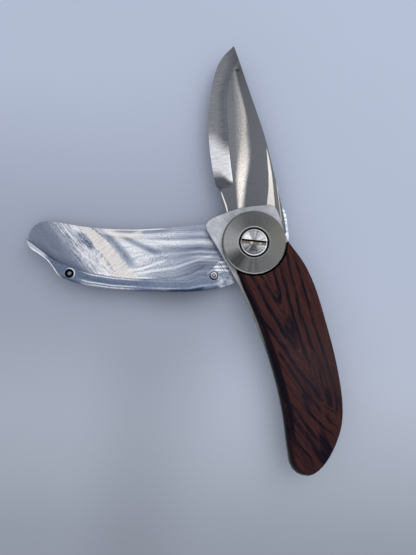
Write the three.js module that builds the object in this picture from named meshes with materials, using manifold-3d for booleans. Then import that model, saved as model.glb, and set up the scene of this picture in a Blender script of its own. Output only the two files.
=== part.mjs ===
// Folding pocket knife with a swing handle.
// The handle is made of two halves, one above and one below the blade, and all three turn on
// one big pivot. Here the front half lies in line with the open blade, and the rear half is
// swung out, with the polished pocket that it holds the blade in facing up.
// Millimetres and degrees, +Z up. The origin is where the pivot's axis meets the surface that
// the knife lies on, and the rear half points along -X.

import * as THREE from "three";
import { mergeVertices } from "three/addons/utils/BufferGeometryUtils.js";
import Module from "manifold-3d";

const wasm = await Module();
wasm.setup();

// Driving dimensions

// how the three swinging pieces lie at rest, turned about the pivot
const REAR_TURN = 180; // direction that the rear half points in
const OPEN_TURN = 187.9; // blade's turn from folded away to fully open
const REAR_OPEN_TURN = 82.3; // how far the blade is turned out of the rear half at rest

// the stack along the pivot, from the blade outwards
const BLADE_THICKNESS = 3;
const WASHER_THICKNESS = 0.4;
const WASHER_PLAY = 0.1; // on each side of a washer
const FLOOR_THICKNESS = 1.5; // metal plate of each half
const GLUE_LINE = 0.1; // between a plate and its wooden scale
const SCALE_THICKNESS = 3.4;

// handle outline: the pivot is at 0, 0 and the grip runs along +X with its back towards +Y
const HEAD_REACH = 15.4; // pivot to the end of the head
const HEAD_BACK = 13.4; // axis to the head's upper edge
const HEAD_HEEL = 17.4; // axis to the head's low corner
const SHOULDER_REACH = 19.5; // pivot to where the grip begins
const HANDLE_REACH = 93.4; // pivot to the end of the grip
const BACK_HEIGHT = 21.3; // axis to the highest point of the back
const BELLY_DEPTH = 4; // axis to the hollow of the front edge
const EDGE_BREAK = 0.25; // small chamfer along the plates' edges

// the rear half's wall along its back, which closes the handle behind the blade's edge
const WALL_GAP = 0.3; // wall to the front half when the two are in line
const WALL_WIDTH = 4.6; // at the middle of the grip
const WALL_ROUND = 1.4; // rounded outer edge of the wall
const WALL_START = 35; // turn, from the grip's direction, at which the wall leaves the tang's room
const PIN_SWEEP_GAP = 0.4; // wall to the front half's stop pin as it swings past
const POCKET_STEP = 0.4; // pocket's floor below the land that the tang turns on
const LAND_MARGIN = 1.7; // land beyond the tang's round
const LAND_TURN = 27.8; // where the land's round runs out towards the stop pin
const NOTCH_LENGTH = 15; // thumb notch at the end of the rear half, along the grip
const NOTCH_FOOT = 3; // axis to the low end of the notch
const NOTCH_RISE = 15.1;

// wooden scales
const SCALE_INSET_BACK = 0.6; // plate shown beside the wood, along the back
const SCALE_INSET_SHOULDER = 0.95; // along the front edge, near the pivot
const SCALE_INSET_END = 0.5; // along the front edge, at the end
const SCALE_INSET_TIP = 0.5; // more of it around the end
const SCALE_INSET_CORNER = 1.05; // and next to the disc
const ROUND_BACK = 1.3; // width of the rounding, along the back
const ROUND_FRONT = 2.8; // width of the rounding, along the front edge
const ROUND_HEIGHT = 2.1;
const SCALE_START_TURNS = [79, -38.5]; // where the wood ends on the round cut, back and front
const SCALE_PIN_RADIUS = 0.8;
const SCALE_PIN_SINK = 0.7; // blind hole in the plate
const SCALE_PIN_RISE = 1.8; // blind hole in the wood
const SCALE_PIN_PLACES = [0.14, 0.62]; // along the grip

// pivot
const DISC_RADIUS = 12.7;
const DISC_CHAMFER = 0.7; // width of the turned chamfer
const DISC_CHAMFER_DROP = 0.4;
const DISC_GAP = 0.75; // disc to the wood around it
const SPRING_ROOM = 0.6; // front plate to front disc
const BOLT_HEAD_RADIUS = 5.4;
const BOLT_HEAD_GAP = 0.75; // around each head, in the discs' bores
const BOLT_HEAD_HEIGHT = 1.6;
const BOLT_HEAD_RECESS = 0.3; // slotted head below the disc's face
const COUNTERBORE_DEPTH = 2;
const BARREL_RADIUS = 4;
const SHANK_RADIUS = 2.4;
const SHANK_LENGTH = 7.6;
const SLOT_WIDTH = 1.9;
const SLOT_DEPTH = 0.9;
const SLOT_TURN = -3; // slot's direction from the X axis
const WASHER_RADIUS = 8;
const SPRING_WASHER_RADIUS = 8.6;
const SPRING_WASHER_THICKNESS = 0.25;
const SPRING_WASHER_CONE = 0.2; // rise of the cone
const TURNING_PLAY = 0.2; // around the barrel, where a piece turns on it
const SEAT_GAP = 0.1; // around and under a piece that is fixed in its seat

// stops: a spur on the blade's tang meets a pin in each half when the blade is fully open
const STOP_REACH = 20.2; // pivot to the middle of a stop pin
const STOP_TURN = 41.6; // from the grip's direction
const STOP_RADIUS = 1.7;
const STOP_CROWN = 0.6; // rounded end of each pin, where the two meet
const STOP_SPLIT = 0.3; // between the two pins' ends when the halves are in line
const STOP_TOUCH = 0.04; // spur to pin, fully open
const SPUR_BITE = 1.1; // middle of the spur's round end, inside the circle of the pins
const SPUR_RADIUS = 1.3;
const SPUR_RUNOUT = 5; // turn over which each flank of the spur runs into the tang

// ball catch that holds the two halves together
const BALL_RADIUS = 1.5;
const BALL_GAP = 0.15; // top of the ball to the front half's face
const BALL_PLAY = 0.1; // around the ball in its bore
const BALL_ALONG = 0.735; // place along the grip
const BALL_DEPTH = 5.5; // highest point of the back to the ball's axis
const LIP_RADIUS = 1.2; // mouth that keeps the ball in
const LIP_HEIGHT = 0.3;
const LIP_CHAMFER = 0.45;
const DIMPLE_DEPTH = 0.35; // seat for the ball in the front half
const BALL_TRAVEL_ROOM = 0.3; // ball to the spring below it
const SPRING_WIRE = 0.34;
const SPRING_TURNS = 3.5;
const PLUG_HEIGHT = 0.6;
const PLUG_SINK = 0.05; // plug below the plate's outer face

// blade
const TIP_ROOM = 7.1; // blade's tip to the end of the grip, folded
const TANG_RADIUS = 13;
const RICASSO_REACH = 25.9; // pivot to the start of the edge
const SPINE_HEIGHT = 13.4; // axis to the spine at the ricasso
const EDGE_DEPTH = 14.1; // axis to the edge at its deepest
const EDGE_STEP_UP = 1.3; // edge at the ricasso, short of its deepest
const CHOIL_TURN = 45.6; // where the choil runs into the tang's round
const SPINE_TURN = 278; // where the tang's round runs into the spine
const EDGE_THICKNESS = 0.24;
const TIP_THICKNESS = 1.1; // behind the tip
const SWAGE_DROP = 0.22; // thinning of each face at the root of the spine
const SWAGE_LINE = 8.9; // axis to where that thinning starts
const SWAGE_REACHES = [30, 42]; // pivot to where it starts to fade, and to where it is gone
const GRIND_HEIGHT = 5.7; // axis to the line where the hollow grind starts, at the ricasso
const GRIND_BOW = 0.6; // how far that line bows out
const GRIND_BEND = 0.5; // place along the edge where that line bends away towards the spine
const GRIND_END = 0.91; // place along the edge where it has come down by GRIND_FALL
const GRIND_FALL = 8.8;
const GRIND_LEAST = 0.3; // narrowest that the grind gets
const GRIND_HOLLOW = 0.35; // share of the grind's depth that makes it hollow
const GRIND_RAMP = 2.2; // length of the curved step where the hollow grind ends
const GRIND_LEAD = 0.4; // how far past the ricasso that step reaches

// facets around the round pieces, and along the outlines
const DISC_STEPS = 72;
const RING_STEPS = 44;
const PIN_STEPS = 20;
const OUTLINE_STEP = 2.4;
const EDGE_STEP = 1.8;
const SPINE_STEP = 2.2;
const GRIND_STATIONS = 16;
const RAMP_STATIONS = 4;

// Levels, measured from the middle of the blade's thickness
const gapHalf = BLADE_THICKNESS / 2 + WASHER_THICKNESS + 2 * WASHER_PLAY;
const plateOuter = gapHalf + FLOOR_THICKNESS;
const scaleInner = plateOuter + GLUE_LINE;
const outerFace = scaleInner + SCALE_THICKNESS;
const wallTop = gapHalf - WALL_GAP;

const beyond = 2 * outerFace; // past every outer face, for cuts that go right through

const bladeReach = HANDLE_REACH - TIP_ROOM;
const pinSweep = STOP_REACH + STOP_RADIUS + PIN_SWEEP_GAP;
const spurReach = STOP_REACH - SPUR_BITE;
const landRadius = TANG_RADIUS + LAND_MARGIN;

const radians = THREE.MathUtils.degToRad;

// Materials

function finish(name, color, roughness, metalness) {
  return new THREE.MeshStandardMaterial({ name, color, roughness, metalness });
}

const polishedAluminium = finish("polished_aluminium", 0xb9c0cc, 0.22, 1);
const satinAluminium = finish("satin_aluminium", 0xb4b6b8, 0.42, 1);
const rosewood = finish("rosewood", 0x462a26, 0.45, 0);
const bladeSteel = finish("blade_steel", 0xa6a6a4, 0.32, 1);
const turnedSteel = finish("turned_steel", 0x8e8f8b, 0.35, 1);
const brightSteel = finish("bright_steel", 0xc9cacb, 0.2, 1);
const springSteel = finish("spring_steel", 0x5b5d61, 0.4, 1);
const bronze = finish("bronze", 0x9c7a45, 0.4, 1);

// Solids and booleans

function toSolid(geometry) {
  const bare = geometry.clone();
  bare.deleteAttribute("normal");
  bare.deleteAttribute("uv");
  const merged = mergeVertices(bare, 1e-5);
  const vertProperties = new Float32Array(merged.attributes.position.array);
  const triVerts = new Uint32Array(merged.index.array);
  return new wasm.Manifold(new wasm.Mesh({ numProp: 3, vertProperties, triVerts }));
}

function toGeometry(solid) {
  const mesh = solid.getMesh();
  const geometry = new THREE.BufferGeometry();
  geometry.setAttribute("position", new THREE.BufferAttribute(new Float32Array(mesh.vertProperties), 3));
  geometry.setIndex(new THREE.BufferAttribute(new Uint32Array(mesh.triVerts), 1));
  geometry.computeVertexNormals();
  return geometry;
}

function without(solid, ...cutters) {
  return cutters.reduce((rest, cutter) => rest.subtract(cutter), solid);
}

// Round piece about the Z axis, from its half section as [radius, height] points
function turned(profile, steps = RING_STEPS) {
  const points = profile.map(([radius, height]) => new THREE.Vector2(radius, height));
  const lathed = (section) => toSolid(new THREE.LatheGeometry(section, steps).rotateX(Math.PI / 2));
  const solid = lathed(points);
  return solid.volume() > 0 ? solid : lathed(points.reverse());
}

function rod(radius, bottom, top, steps = PIN_STEPS, x = 0, y = 0) {
  const cylinder = new THREE.CylinderGeometry(radius, radius, top - bottom, steps);
  cylinder.rotateX(Math.PI / 2);
  cylinder.translate(x, y, (top + bottom) / 2);
  return toSolid(cylinder);
}

function prism(points, bottom, top) {
  const shape = new THREE.Shape(points);
  const extruded = new THREE.ExtrudeGeometry(shape, { depth: top - bottom, bevelEnabled: false });
  extruded.translate(0, 0, bottom);
  return toSolid(extruded);
}

// Outlines

function smooth(knots, spacing, closed = false) {
  const curve = new THREE.CatmullRomCurve3(
    knots.map(([x, y]) => new THREE.Vector3(x, y, 0)),
    closed,
    "centripetal",
  );
  const steps = Math.ceil(curve.getLength() / spacing);
  const points = curve.getSpacedPoints(steps).map((p) => new THREE.Vector2(p.x, p.y));
  if (closed) points.pop();
  return points;
}

function arc(radius, fromTurn, toTurn, steps, x = 0, y = 0) {
  return Array.from({ length: steps + 1 }, (_, i) => {
    const turn = radians(fromTurn + ((toTurn - fromTurn) * i) / steps);
    return new THREE.Vector2(x + radius * Math.cos(turn), y + radius * Math.sin(turn));
  });
}

function anticlockwise(points) {
  return THREE.ShapeUtils.isClockWise(points) ? points.slice().reverse() : points;
}

// Moves each point of an anticlockwise outline inwards; the width may differ from point to point
function inset(points, width) {
  return points.map((point, i) => {
    const before = points[(i + points.length - 1) % points.length];
    const after = points[(i + 1) % points.length];
    const first = point.clone().sub(before).normalize();
    const second = after.clone().sub(point).normalize();
    const normal = new THREE.Vector2(-first.y - second.y, first.x + second.x).normalize();
    const spread = Math.max(0.6, normal.dot(new THREE.Vector2(-first.y, first.x)));
    return point.clone().addScaledVector(normal, width(point) / spread);
  });
}

// Solid through a stack of outlines that all have the same number of points
function stacked(rings) {
  const count = rings[0].points.length;
  const positions = rings.flatMap(({ points, z }) => points.flatMap((p) => [p.x, p.y, z]));
  const index = [];
  for (let layer = 0; layer < rings.length - 1; layer++) {
    for (let i = 0; i < count; i++) {
      const a = layer * count + i;
      const b = layer * count + ((i + 1) % count);
      index.push(a, b, b + count, a, b + count, a + count);
    }
  }
  const lid = (rings.length - 1) * count;
  for (const [a, b, c] of THREE.ShapeUtils.triangulateShape(rings[0].points, [])) index.push(c, b, a);
  for (const [a, b, c] of THREE.ShapeUtils.triangulateShape(rings.at(-1).points, [])) {
    index.push(lid + a, lid + b, lid + c);
  }
  const geometry = new THREE.BufferGeometry();
  geometry.setAttribute("position", new THREE.Float32BufferAttribute(positions, 3));
  geometry.setIndex(index);
  return toSolid(geometry);
}

// Solid through a row of sections, each an upper line and the lower line under it
function lofted(rings) {
  const count = rings[0].length;
  const index = [];
  for (let r = 0; r < rings.length - 1; r++) {
    for (let i = 0; i < count; i++) {
      const a = r * count + i;
      const b = r * count + ((i + 1) % count);
      index.push(a, a + count, b, b, a + count, b + count);
    }
  }
  const end = (rings.length - 1) * count;
  for (let i = 0; i < count / 2 - 1; i++) {
    const [a, b, c, d] = [i, i + 1, count - 2 - i, count - 1 - i];
    index.push(a, b, c, a, c, d);
    index.push(end + a, end + c, end + b, end + a, end + d, end + c);
  }
  const geometry = new THREE.BufferGeometry();
  geometry.setAttribute("position", new THREE.Float32BufferAttribute(rings.flat(2), 3));
  geometry.setIndex(index);
  return toSolid(geometry);
}

// A point of the handle: along runs from 0 at the shoulder to 1 at the end of the grip
function grip(along, height) {
  return [SHOULDER_REACH + along * (HANDLE_REACH - SHOULDER_REACH), height];
}

function handleOutline() {
  const back = BACK_HEIGHT;
  const belly = -BELLY_DEPTH;
  const head = -HEAD_REACH;
  const heel = -HEAD_HEEL;
  const knots = [
    [0.84 * head, 0.91 * HEAD_BACK],
    [0.42 * head, HEAD_BACK],
    [-0.03 * head, 1.02 * HEAD_BACK],
    [0.256 * SHOULDER_REACH, 0.718 * back],
    [0.477 * SHOULDER_REACH, 0.808 * back],
    [0.764 * SHOULDER_REACH, 0.892 * back],
    grip(0.05, 0.958 * back),
    grip(0.24, 0.995 * back),
    grip(0.48, back),
    grip(0.69, 0.92 * back),
    grip(0.82, 0.756 * back),
    grip(0.93, 0.474 * back),
    grip(0.985, 0.221 * back),
    grip(1, -0.15 * belly),
    grip(0.972, 0.95 * belly),
    grip(0.925, 1.45 * belly),
    grip(0.84, 1.4 * belly),
    grip(0.67, 1.075 * belly),
    grip(0.52, belly),
    grip(0.37, 1.125 * belly),
    grip(0.18, 1.525 * belly),
    grip(0, 2.125 * belly),
    [0.42 * SHOULDER_REACH, 0.667 * heel],
    [0.21 * head, 0.868 * heel],
    [0.604 * head, 0.983 * heel],
    [0.727 * head, heel],
    [0.818 * head, 0.954 * heel],
    [0.877 * head, 0.862 * heel],
    [0.942 * head, 0.603 * heel],
    [0.994 * head, 0.287 * heel],
    [head, 0],
    [0.961 * head, 0.463 * HEAD_BACK],
    [0.896 * head, 0.843 * HEAD_BACK],
  ];
  return anticlockwise(smooth(knots, OUTLINE_STEP, true));
}

// Inner edge of the rear half's wall, from the end of the grip to the tang's room
function wallLine() {
  const inner = BACK_HEIGHT - WALL_WIDTH;
  return smooth(
    [
      grip(1.03, 0.024 * inner),
      grip(0.985, 0.174 * inner),
      grip(0.94, 0.305 * inner),
      grip(0.88, 0.485 * inner),
      grip(0.82, 0.653 * inner),
      grip(0.74, 0.778 * inner),
      grip(0.62, 0.934 * inner),
      grip(0.5, 0.988 * inner),
      grip(0.4, inner),
      grip(0.29, inner),
      grip(0.16, 0.988 * inner),
      grip(0.07, 0.955 * inner),
      grip(0.02, 0.868 * inner),
      arc(pinSweep, WALL_START, WALL_START, 1)[0].toArray(),
    ],
    OUTLINE_STEP,
  );
}

// Everything that the pocket takes out of the rear half: open at the front edge and round the head
function pocketOutline() {
  const wall = wallLine();
  const sweep = arc(pinSweep, WALL_START + 3, 90, 16);
  const far = 2 * HANDLE_REACH;
  return [
    ...wall,
    ...sweep,
    new THREE.Vector2(-far, pinSweep),
    new THREE.Vector2(-far, -far),
    new THREE.Vector2(far, -far),
    new THREE.Vector2(far, wall[0].y),
  ];
}

// The pocket's floor lies deeper than the land around the pivot, which runs out to the stop pin
function deepOutline() {
  const wall = wallLine();
  const [pinX, pinY] = stopPinPlace();
  const round = arc(landRadius, LAND_TURN, -60, 12);
  const flank = smooth(
    [
      wall.at(-1).toArray(),
      [pinX + 0.3 * STOP_RADIUS, pinY - 1.85 * STOP_RADIUS],
      [pinX - 0.5 * STOP_RADIUS, pinY - 3 * STOP_RADIUS],
      round[0].toArray(),
    ],
    EDGE_STEP,
  );
  const far = 2 * HANDLE_REACH;
  return [
    ...wall,
    ...flank.slice(1),
    ...round.slice(1),
    new THREE.Vector2(round.at(-1).x, -far),
    new THREE.Vector2(far, -far),
    new THREE.Vector2(far, wall[0].y),
  ];
}

// Thumb notch in the back corner of the rear half's end; outwards moves it off the wood or the plate
function thumbNotch(outwards) {
  const start = HANDLE_REACH - EDGE_BREAK;
  const at = (part, rise) => [start - part * NOTCH_LENGTH, NOTCH_FOOT + rise * NOTCH_RISE + outwards];
  const edge = smooth(
    [at(-0.27, -0.17), at(0.03, 0), at(0.17, 0.21), at(0.43, 0.36), at(0.71, 0.56), at(0.89, 0.78),
      at(0.98, 0.9), at(1.085, 1), at(1.2, 1.13)],
    EDGE_STEP,
  );
  const corner = new THREE.Vector2(edge[0].x, edge.at(-1).y);
  return prism([...edge, corner], -beyond, beyond);
}

const outline = handleOutline();

// 1 along the grip's front edge, 0 along its back, and in between around the end
function frontness(point) {
  return 1 - THREE.MathUtils.smoothstep(point.y, -0.75 * BELLY_DEPTH, 1.5 * BELLY_DEPTH);
}

// Metal plates

function plateRings(bottom, top, topRound) {
  const onBack = (point) => (point.y > 0 ? 1 : 0);
  const rounding = (point) =>
    onBack(point) * THREE.MathUtils.smoothstep(point.x, 0.3 * SHOULDER_REACH, 0.8 * SHOULDER_REACH);
  const round = (point) => EDGE_BREAK + (topRound - EDGE_BREAK) * rounding(point);
  const rings = [
    { points: inset(outline, () => EDGE_BREAK), z: bottom },
    { points: outline, z: bottom + EDGE_BREAK },
  ];
  if (topRound <= EDGE_BREAK) {
    rings.push({ points: outline, z: top - EDGE_BREAK }, { points: inset(outline, () => EDGE_BREAK), z: top });
    return stacked(rings);
  }
  rings.push({ points: outline, z: top - topRound });
  for (const lean of [30, 60, 90]) {
    const part = 1 - Math.cos(radians(lean));
    const rise = Math.sin(radians(lean));
    rings.push({ points: inset(outline, (p) => round(p) * part), z: top - topRound * (1 - rise) });
  }
  return stacked(rings);
}

function stopPinPlace() {
  return [STOP_REACH * Math.cos(radians(STOP_TURN)), STOP_REACH * Math.sin(radians(STOP_TURN))];
}

function ballPlace() {
  return grip(BALL_ALONG, BACK_HEIGHT - BALL_DEPTH);
}

function scalePinPlaces() {
  return SCALE_PIN_PLACES.map((along) => grip(along, (BACK_HEIGHT - BELLY_DEPTH) / 2));
}

function stopPinHole(bottom, top) {
  return rod(STOP_RADIUS + SEAT_GAP, bottom, top, PIN_STEPS, ...stopPinPlace());
}

function scalePinHoles(bottom, top) {
  return scalePinPlaces().map((place) => rod(SCALE_PIN_RADIUS + SEAT_GAP, bottom, top, PIN_STEPS, ...place));
}

function rearFrame() {
  const pocket = prism(pocketOutline(), -gapHalf, beyond);
  const deepPocket = prism(deepOutline(), -gapHalf - POCKET_STEP, beyond);
  const bore = rod(BARREL_RADIUS + SEAT_GAP, -beyond, beyond, RING_STEPS);
  const ballBore = turned([
    [0, -beyond],
    [BALL_RADIUS + BALL_PLAY, -beyond],
    [BALL_RADIUS + BALL_PLAY, wallTop - LIP_CHAMFER - LIP_HEIGHT],
    [LIP_RADIUS, wallTop - LIP_CHAMFER],
    [LIP_RADIUS + LIP_CHAMFER, wallTop],
    [LIP_RADIUS + LIP_CHAMFER, wallTop + 1],
    [0, wallTop + 1],
  ], PIN_STEPS).translate([...ballPlace(), 0]);
  return without(
    plateRings(-plateOuter, wallTop, WALL_ROUND),
    pocket,
    deepPocket,
    bore,
    ballBore,
    thumbNotch(0),
    stopPinHole(-beyond, 0),
    ...scalePinHoles(-beyond, -plateOuter + SCALE_PIN_SINK),
  );
}

function frontFrame() {
  const bore = rod(BARREL_RADIUS + TURNING_PLAY, 0, beyond, RING_STEPS);
  const dimpleRadius = BALL_RADIUS + SEAT_GAP;
  const dimple = toSolid(
    new THREE.SphereGeometry(dimpleRadius, PIN_STEPS, PIN_STEPS / 2).rotateX(Math.PI / 2),
  ).translate([...ballPlace(), gapHalf + DIMPLE_DEPTH - dimpleRadius]);
  return without(
    plateRings(gapHalf, plateOuter, EDGE_BREAK),
    bore,
    dimple,
    stopPinHole(0, beyond),
    ...scalePinHoles(plateOuter - SCALE_PIN_SINK, beyond),
  );
}

// Pin with a crowned inner end, drawn for the upper side
function stopPin(side) {
  const inner = STOP_SPLIT / 2;
  const outer = plateOuter - SEAT_GAP;
  const crown = [0, 30, 60].map((lean) => [
    STOP_RADIUS * Math.sin(radians(lean)),
    inner + STOP_CROWN * (1 - Math.cos(radians(lean))),
  ]);
  const pin = turned([
    ...crown,
    [STOP_RADIUS, inner + STOP_CROWN],
    [STOP_RADIUS, outer - EDGE_BREAK],
    [STOP_RADIUS - EDGE_BREAK, outer],
    [0, outer],
  ], PIN_STEPS);
  const standing = side > 0 ? pin : pin.mirror([0, 0, 1]);
  return standing.translate([...stopPinPlace(), 0]);
}

// Wooden scales

function scaleInset(point) {
  const { clamp, lerp, smoothstep } = THREE.MathUtils;
  const along = (point.x - SHOULDER_REACH) / (HANDLE_REACH - SHOULDER_REACH);
  const corner = SCALE_INSET_CORNER * (1 - smoothstep(point.x, 0.5 * SHOULDER_REACH, 0.95 * SHOULDER_REACH));
  const strip = lerp(SCALE_INSET_SHOULDER, SCALE_INSET_END, clamp(along * 1.6, 0, 1)) + corner;
  const around = SCALE_INSET_TIP * smoothstep(point.x, 0.8 * HANDLE_REACH, 0.95 * HANDLE_REACH);
  return lerp(SCALE_INSET_BACK, strip, frontness(point)) + around;
}

// Upper scale, with its rounded edges upwards
function scaleBlank() {
  const width = (point) => THREE.MathUtils.lerp(ROUND_BACK, ROUND_FRONT, frontness(point));
  const round = (point) => width(point) * THREE.MathUtils.smoothstep(point.x, -0.6 * HEAD_REACH, 0);
  const rings = [{ points: inset(outline, scaleInset), z: scaleInner }];
  for (const lean of [0, 18, 36, 54, 72, 90]) {
    const part = 1 - Math.cos(radians(lean));
    rings.push({
      points: inset(outline, (p) => scaleInset(p) + round(p) * part),
      z: outerFace - ROUND_HEIGHT * (1 - Math.sin(radians(lean))),
    });
  }
  const cutRadius = DISC_RADIUS + DISC_GAP;
  // the wood stops at a line across the head, between the two ends of the round cut
  const [backEnd, frontEnd] = SCALE_START_TURNS.map((turn) => arc(cutRadius, turn, turn, 1)[0]);
  const line = backEnd.clone().sub(frontEnd);
  const far = -3 * HEAD_REACH;
  const above = backEnd.clone().add(line);
  const below = frontEnd.clone().sub(line);
  const headOff = [above, new THREE.Vector2(far, above.y), new THREE.Vector2(far, below.y), below];
  return without(
    stacked(rings),
    rod(cutRadius, 0, beyond, DISC_STEPS),
    prism(headOff, 0, beyond),
    ...scalePinHoles(0, scaleInner + SCALE_PIN_RISE),
  );
}

function frontScale() {
  return scaleBlank();
}

function rearScale() {
  return without(scaleBlank().mirror([0, 0, 1]), thumbNotch(-0.2));
}

// Blind pins that key a scale to its plate
function scalePins(side, name) {
  const ends = [plateOuter - SCALE_PIN_SINK + SEAT_GAP, scaleInner + SCALE_PIN_RISE - SEAT_GAP];
  const [bottom, top] = ends.map((level) => side * level).sort((a, b) => a - b);
  return scalePinPlaces().map((place, i) =>
    piece(`${name}_${i + 1}`, rod(SCALE_PIN_RADIUS, bottom, top, PIN_STEPS, ...place), springSteel),
  );
}

// Pivot

const counterboreFloor = outerFace - COUNTERBORE_DEPTH;

// Turned disc with a counterbore in its outer face, drawn for the upper side
function disc(inner, bore) {
  const counterbore = BOLT_HEAD_RADIUS + BOLT_HEAD_GAP;
  return turned([
    [bore, inner],
    [DISC_RADIUS - EDGE_BREAK, inner],
    [DISC_RADIUS, inner + EDGE_BREAK],
    [DISC_RADIUS, outerFace - DISC_CHAMFER_DROP],
    [DISC_RADIUS - DISC_CHAMFER, outerFace],
    [counterbore + EDGE_BREAK, outerFace],
    [counterbore, outerFace - EDGE_BREAK],
    [counterbore, counterboreFloor],
    [bore, counterboreFloor],
    [bore, inner],
  ], DISC_STEPS);
}

const frontDiscInner = plateOuter + SPRING_ROOM;
const barrelTop = frontDiscInner - SEAT_GAP;
const headSeat = counterboreFloor + SEAT_GAP;

function rearDisc() {
  return disc(plateOuter + SEAT_GAP, BARREL_RADIUS + SEAT_GAP).mirror([0, 0, 1]);
}

function frontDisc() {
  return disc(frontDiscInner, SHANK_RADIUS + TURNING_PLAY);
}

const screwTop = outerFace - BOLT_HEAD_RECESS;
const shankEnd = screwTop - BOLT_HEAD_HEIGHT - SHANK_LENGTH;

function pivotBarrel() {
  const thread = SHANK_RADIUS + TURNING_PLAY;
  return turned([
    [0, -outerFace],
    [BOLT_HEAD_RADIUS - EDGE_BREAK, -outerFace],
    [BOLT_HEAD_RADIUS, -outerFace + EDGE_BREAK],
    [BOLT_HEAD_RADIUS, -headSeat],
    [BARREL_RADIUS, -headSeat],
    [BARREL_RADIUS, barrelTop],
    [thread, barrelTop],
    [thread, shankEnd - 2 * SEAT_GAP],
    [0, shankEnd - 2 * SEAT_GAP],
  ]);
}

function pivotScrew() {
  const headBottom = screwTop - BOLT_HEAD_HEIGHT;
  const body = turned([
    [0, shankEnd],
    [SHANK_RADIUS - EDGE_BREAK, shankEnd],
    [SHANK_RADIUS, shankEnd + EDGE_BREAK],
    [SHANK_RADIUS, headBottom],
    [BOLT_HEAD_RADIUS, headBottom],
    [BOLT_HEAD_RADIUS, screwTop - EDGE_BREAK],
    [BOLT_HEAD_RADIUS - EDGE_BREAK, screwTop],
    [0, screwTop],
  ]);
  const blank = new THREE.BoxGeometry(4 * BOLT_HEAD_RADIUS, SLOT_WIDTH, 2 * SLOT_DEPTH);
  const slot = toSolid(blank.rotateZ(radians(SLOT_TURN)).translate(0, 0, screwTop));
  return body.subtract(slot);
}

function washer(side) {
  const near = BLADE_THICKNESS / 2 + WASHER_PLAY;
  const ring = turned([
    [BARREL_RADIUS + TURNING_PLAY, near],
    [WASHER_RADIUS, near],
    [WASHER_RADIUS, near + WASHER_THICKNESS],
    [BARREL_RADIUS + TURNING_PLAY, near + WASHER_THICKNESS],
    [BARREL_RADIUS + TURNING_PLAY, near],
  ]);
  return side > 0 ? ring : ring.mirror([0, 0, 1]);
}

// Coned spring washer that presses the front plate down
function springWasher() {
  const inner = BARREL_RADIUS + TURNING_PLAY;
  const low = plateOuter + (SPRING_ROOM - SPRING_WASHER_CONE - SPRING_WASHER_THICKNESS) / 2;
  const high = low + SPRING_WASHER_CONE;
  return turned([
    [inner, high],
    [SPRING_WASHER_RADIUS, low],
    [SPRING_WASHER_RADIUS, low + SPRING_WASHER_THICKNESS],
    [inner, high + SPRING_WASHER_THICKNESS],
    [inner, high],
  ]);
}

// Ball catch

const ballCentre = gapHalf - BALL_GAP - BALL_RADIUS;
const plugTop = -plateOuter + PLUG_HEIGHT;

function detentBall() {
  const ball = new THREE.SphereGeometry(BALL_RADIUS, PIN_STEPS, PIN_STEPS / 2).rotateX(Math.PI / 2);
  return toSolid(ball).translate([...ballPlace(), ballCentre]);
}

// Helix of round wire, with its ends between the ball and the plug
function detentSpring() {
  const coil = BALL_RADIUS - SPRING_WIRE;
  const low = plugTop + SEAT_GAP + SPRING_WIRE / 2;
  const high = ballCentre - BALL_RADIUS - BALL_TRAVEL_ROOM - SPRING_WIRE / 2;
  class Helix extends THREE.Curve {
    getPoint(t, target = new THREE.Vector3()) {
      const turn = 2 * Math.PI * SPRING_TURNS * t;
      return target.set(coil * Math.cos(turn), coil * Math.sin(turn), THREE.MathUtils.lerp(low, high, t));
    }
  }
  const section = new THREE.Shape(arc(SPRING_WIRE / 2, 0, 300, 5));
  const steps = Math.round(SPRING_TURNS * 12);
  const wire = new THREE.ExtrudeGeometry(section, { steps, extrudePath: new Helix(), bevelEnabled: false });
  return toSolid(wire).translate([...ballPlace(), 0]);
}

function detentPlug() {
  return rod(BALL_RADIUS + BALL_PLAY / 2, -plateOuter + PLUG_SINK, plugTop, PIN_STEPS, ...ballPlace());
}

// Blade: the tip is towards +X and the edge towards +Y

function bladePoint(along, height) {
  return [RICASSO_REACH + along * (bladeReach - RICASSO_REACH), height];
}

// The spur leans on the rear half's pin when the blade is fully open
function spurTurn() {
  const touching = STOP_RADIUS + SPUR_RADIUS + STOP_TOUCH;
  const cosine = (STOP_REACH ** 2 + spurReach ** 2 - touching ** 2) / (2 * STOP_REACH * spurReach);
  const open = STOP_TURN + THREE.MathUtils.radToDeg(Math.acos(cosine));
  return open + OPEN_TURN;
}

function spineKnots() {
  const top = -SPINE_HEIGHT;
  return [
    [0.154 * RICASSO_REACH, 1.067 * top],
    [0.44 * RICASSO_REACH, 1.03 * top],
    [0.737 * RICASSO_REACH, 0.963 * top],
    bladePoint(0.155, 0.8 * top),
    bladePoint(0.3, 0.7 * top),
    bladePoint(0.42, 0.59 * top),
    bladePoint(0.67, 0.328 * top),
    bladePoint(0.895, 0.104 * top),
    bladePoint(1, 0),
  ];
}

function edgeKnots() {
  const deep = EDGE_DEPTH;
  return [
    bladePoint(1, 0),
    bladePoint(0.973, 0.135 * deep),
    bladePoint(0.93, 0.34 * deep),
    bladePoint(0.865, 0.532 * deep),
    bladePoint(0.76, 0.716 * deep),
    bladePoint(0.62, 0.865 * deep),
    bladePoint(0.44, 0.979 * deep),
    bladePoint(0.26, deep),
    bladePoint(0.1, deep - 0.4 * EDGE_STEP_UP),
    bladePoint(0, deep - EDGE_STEP_UP),
  ];
}

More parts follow.
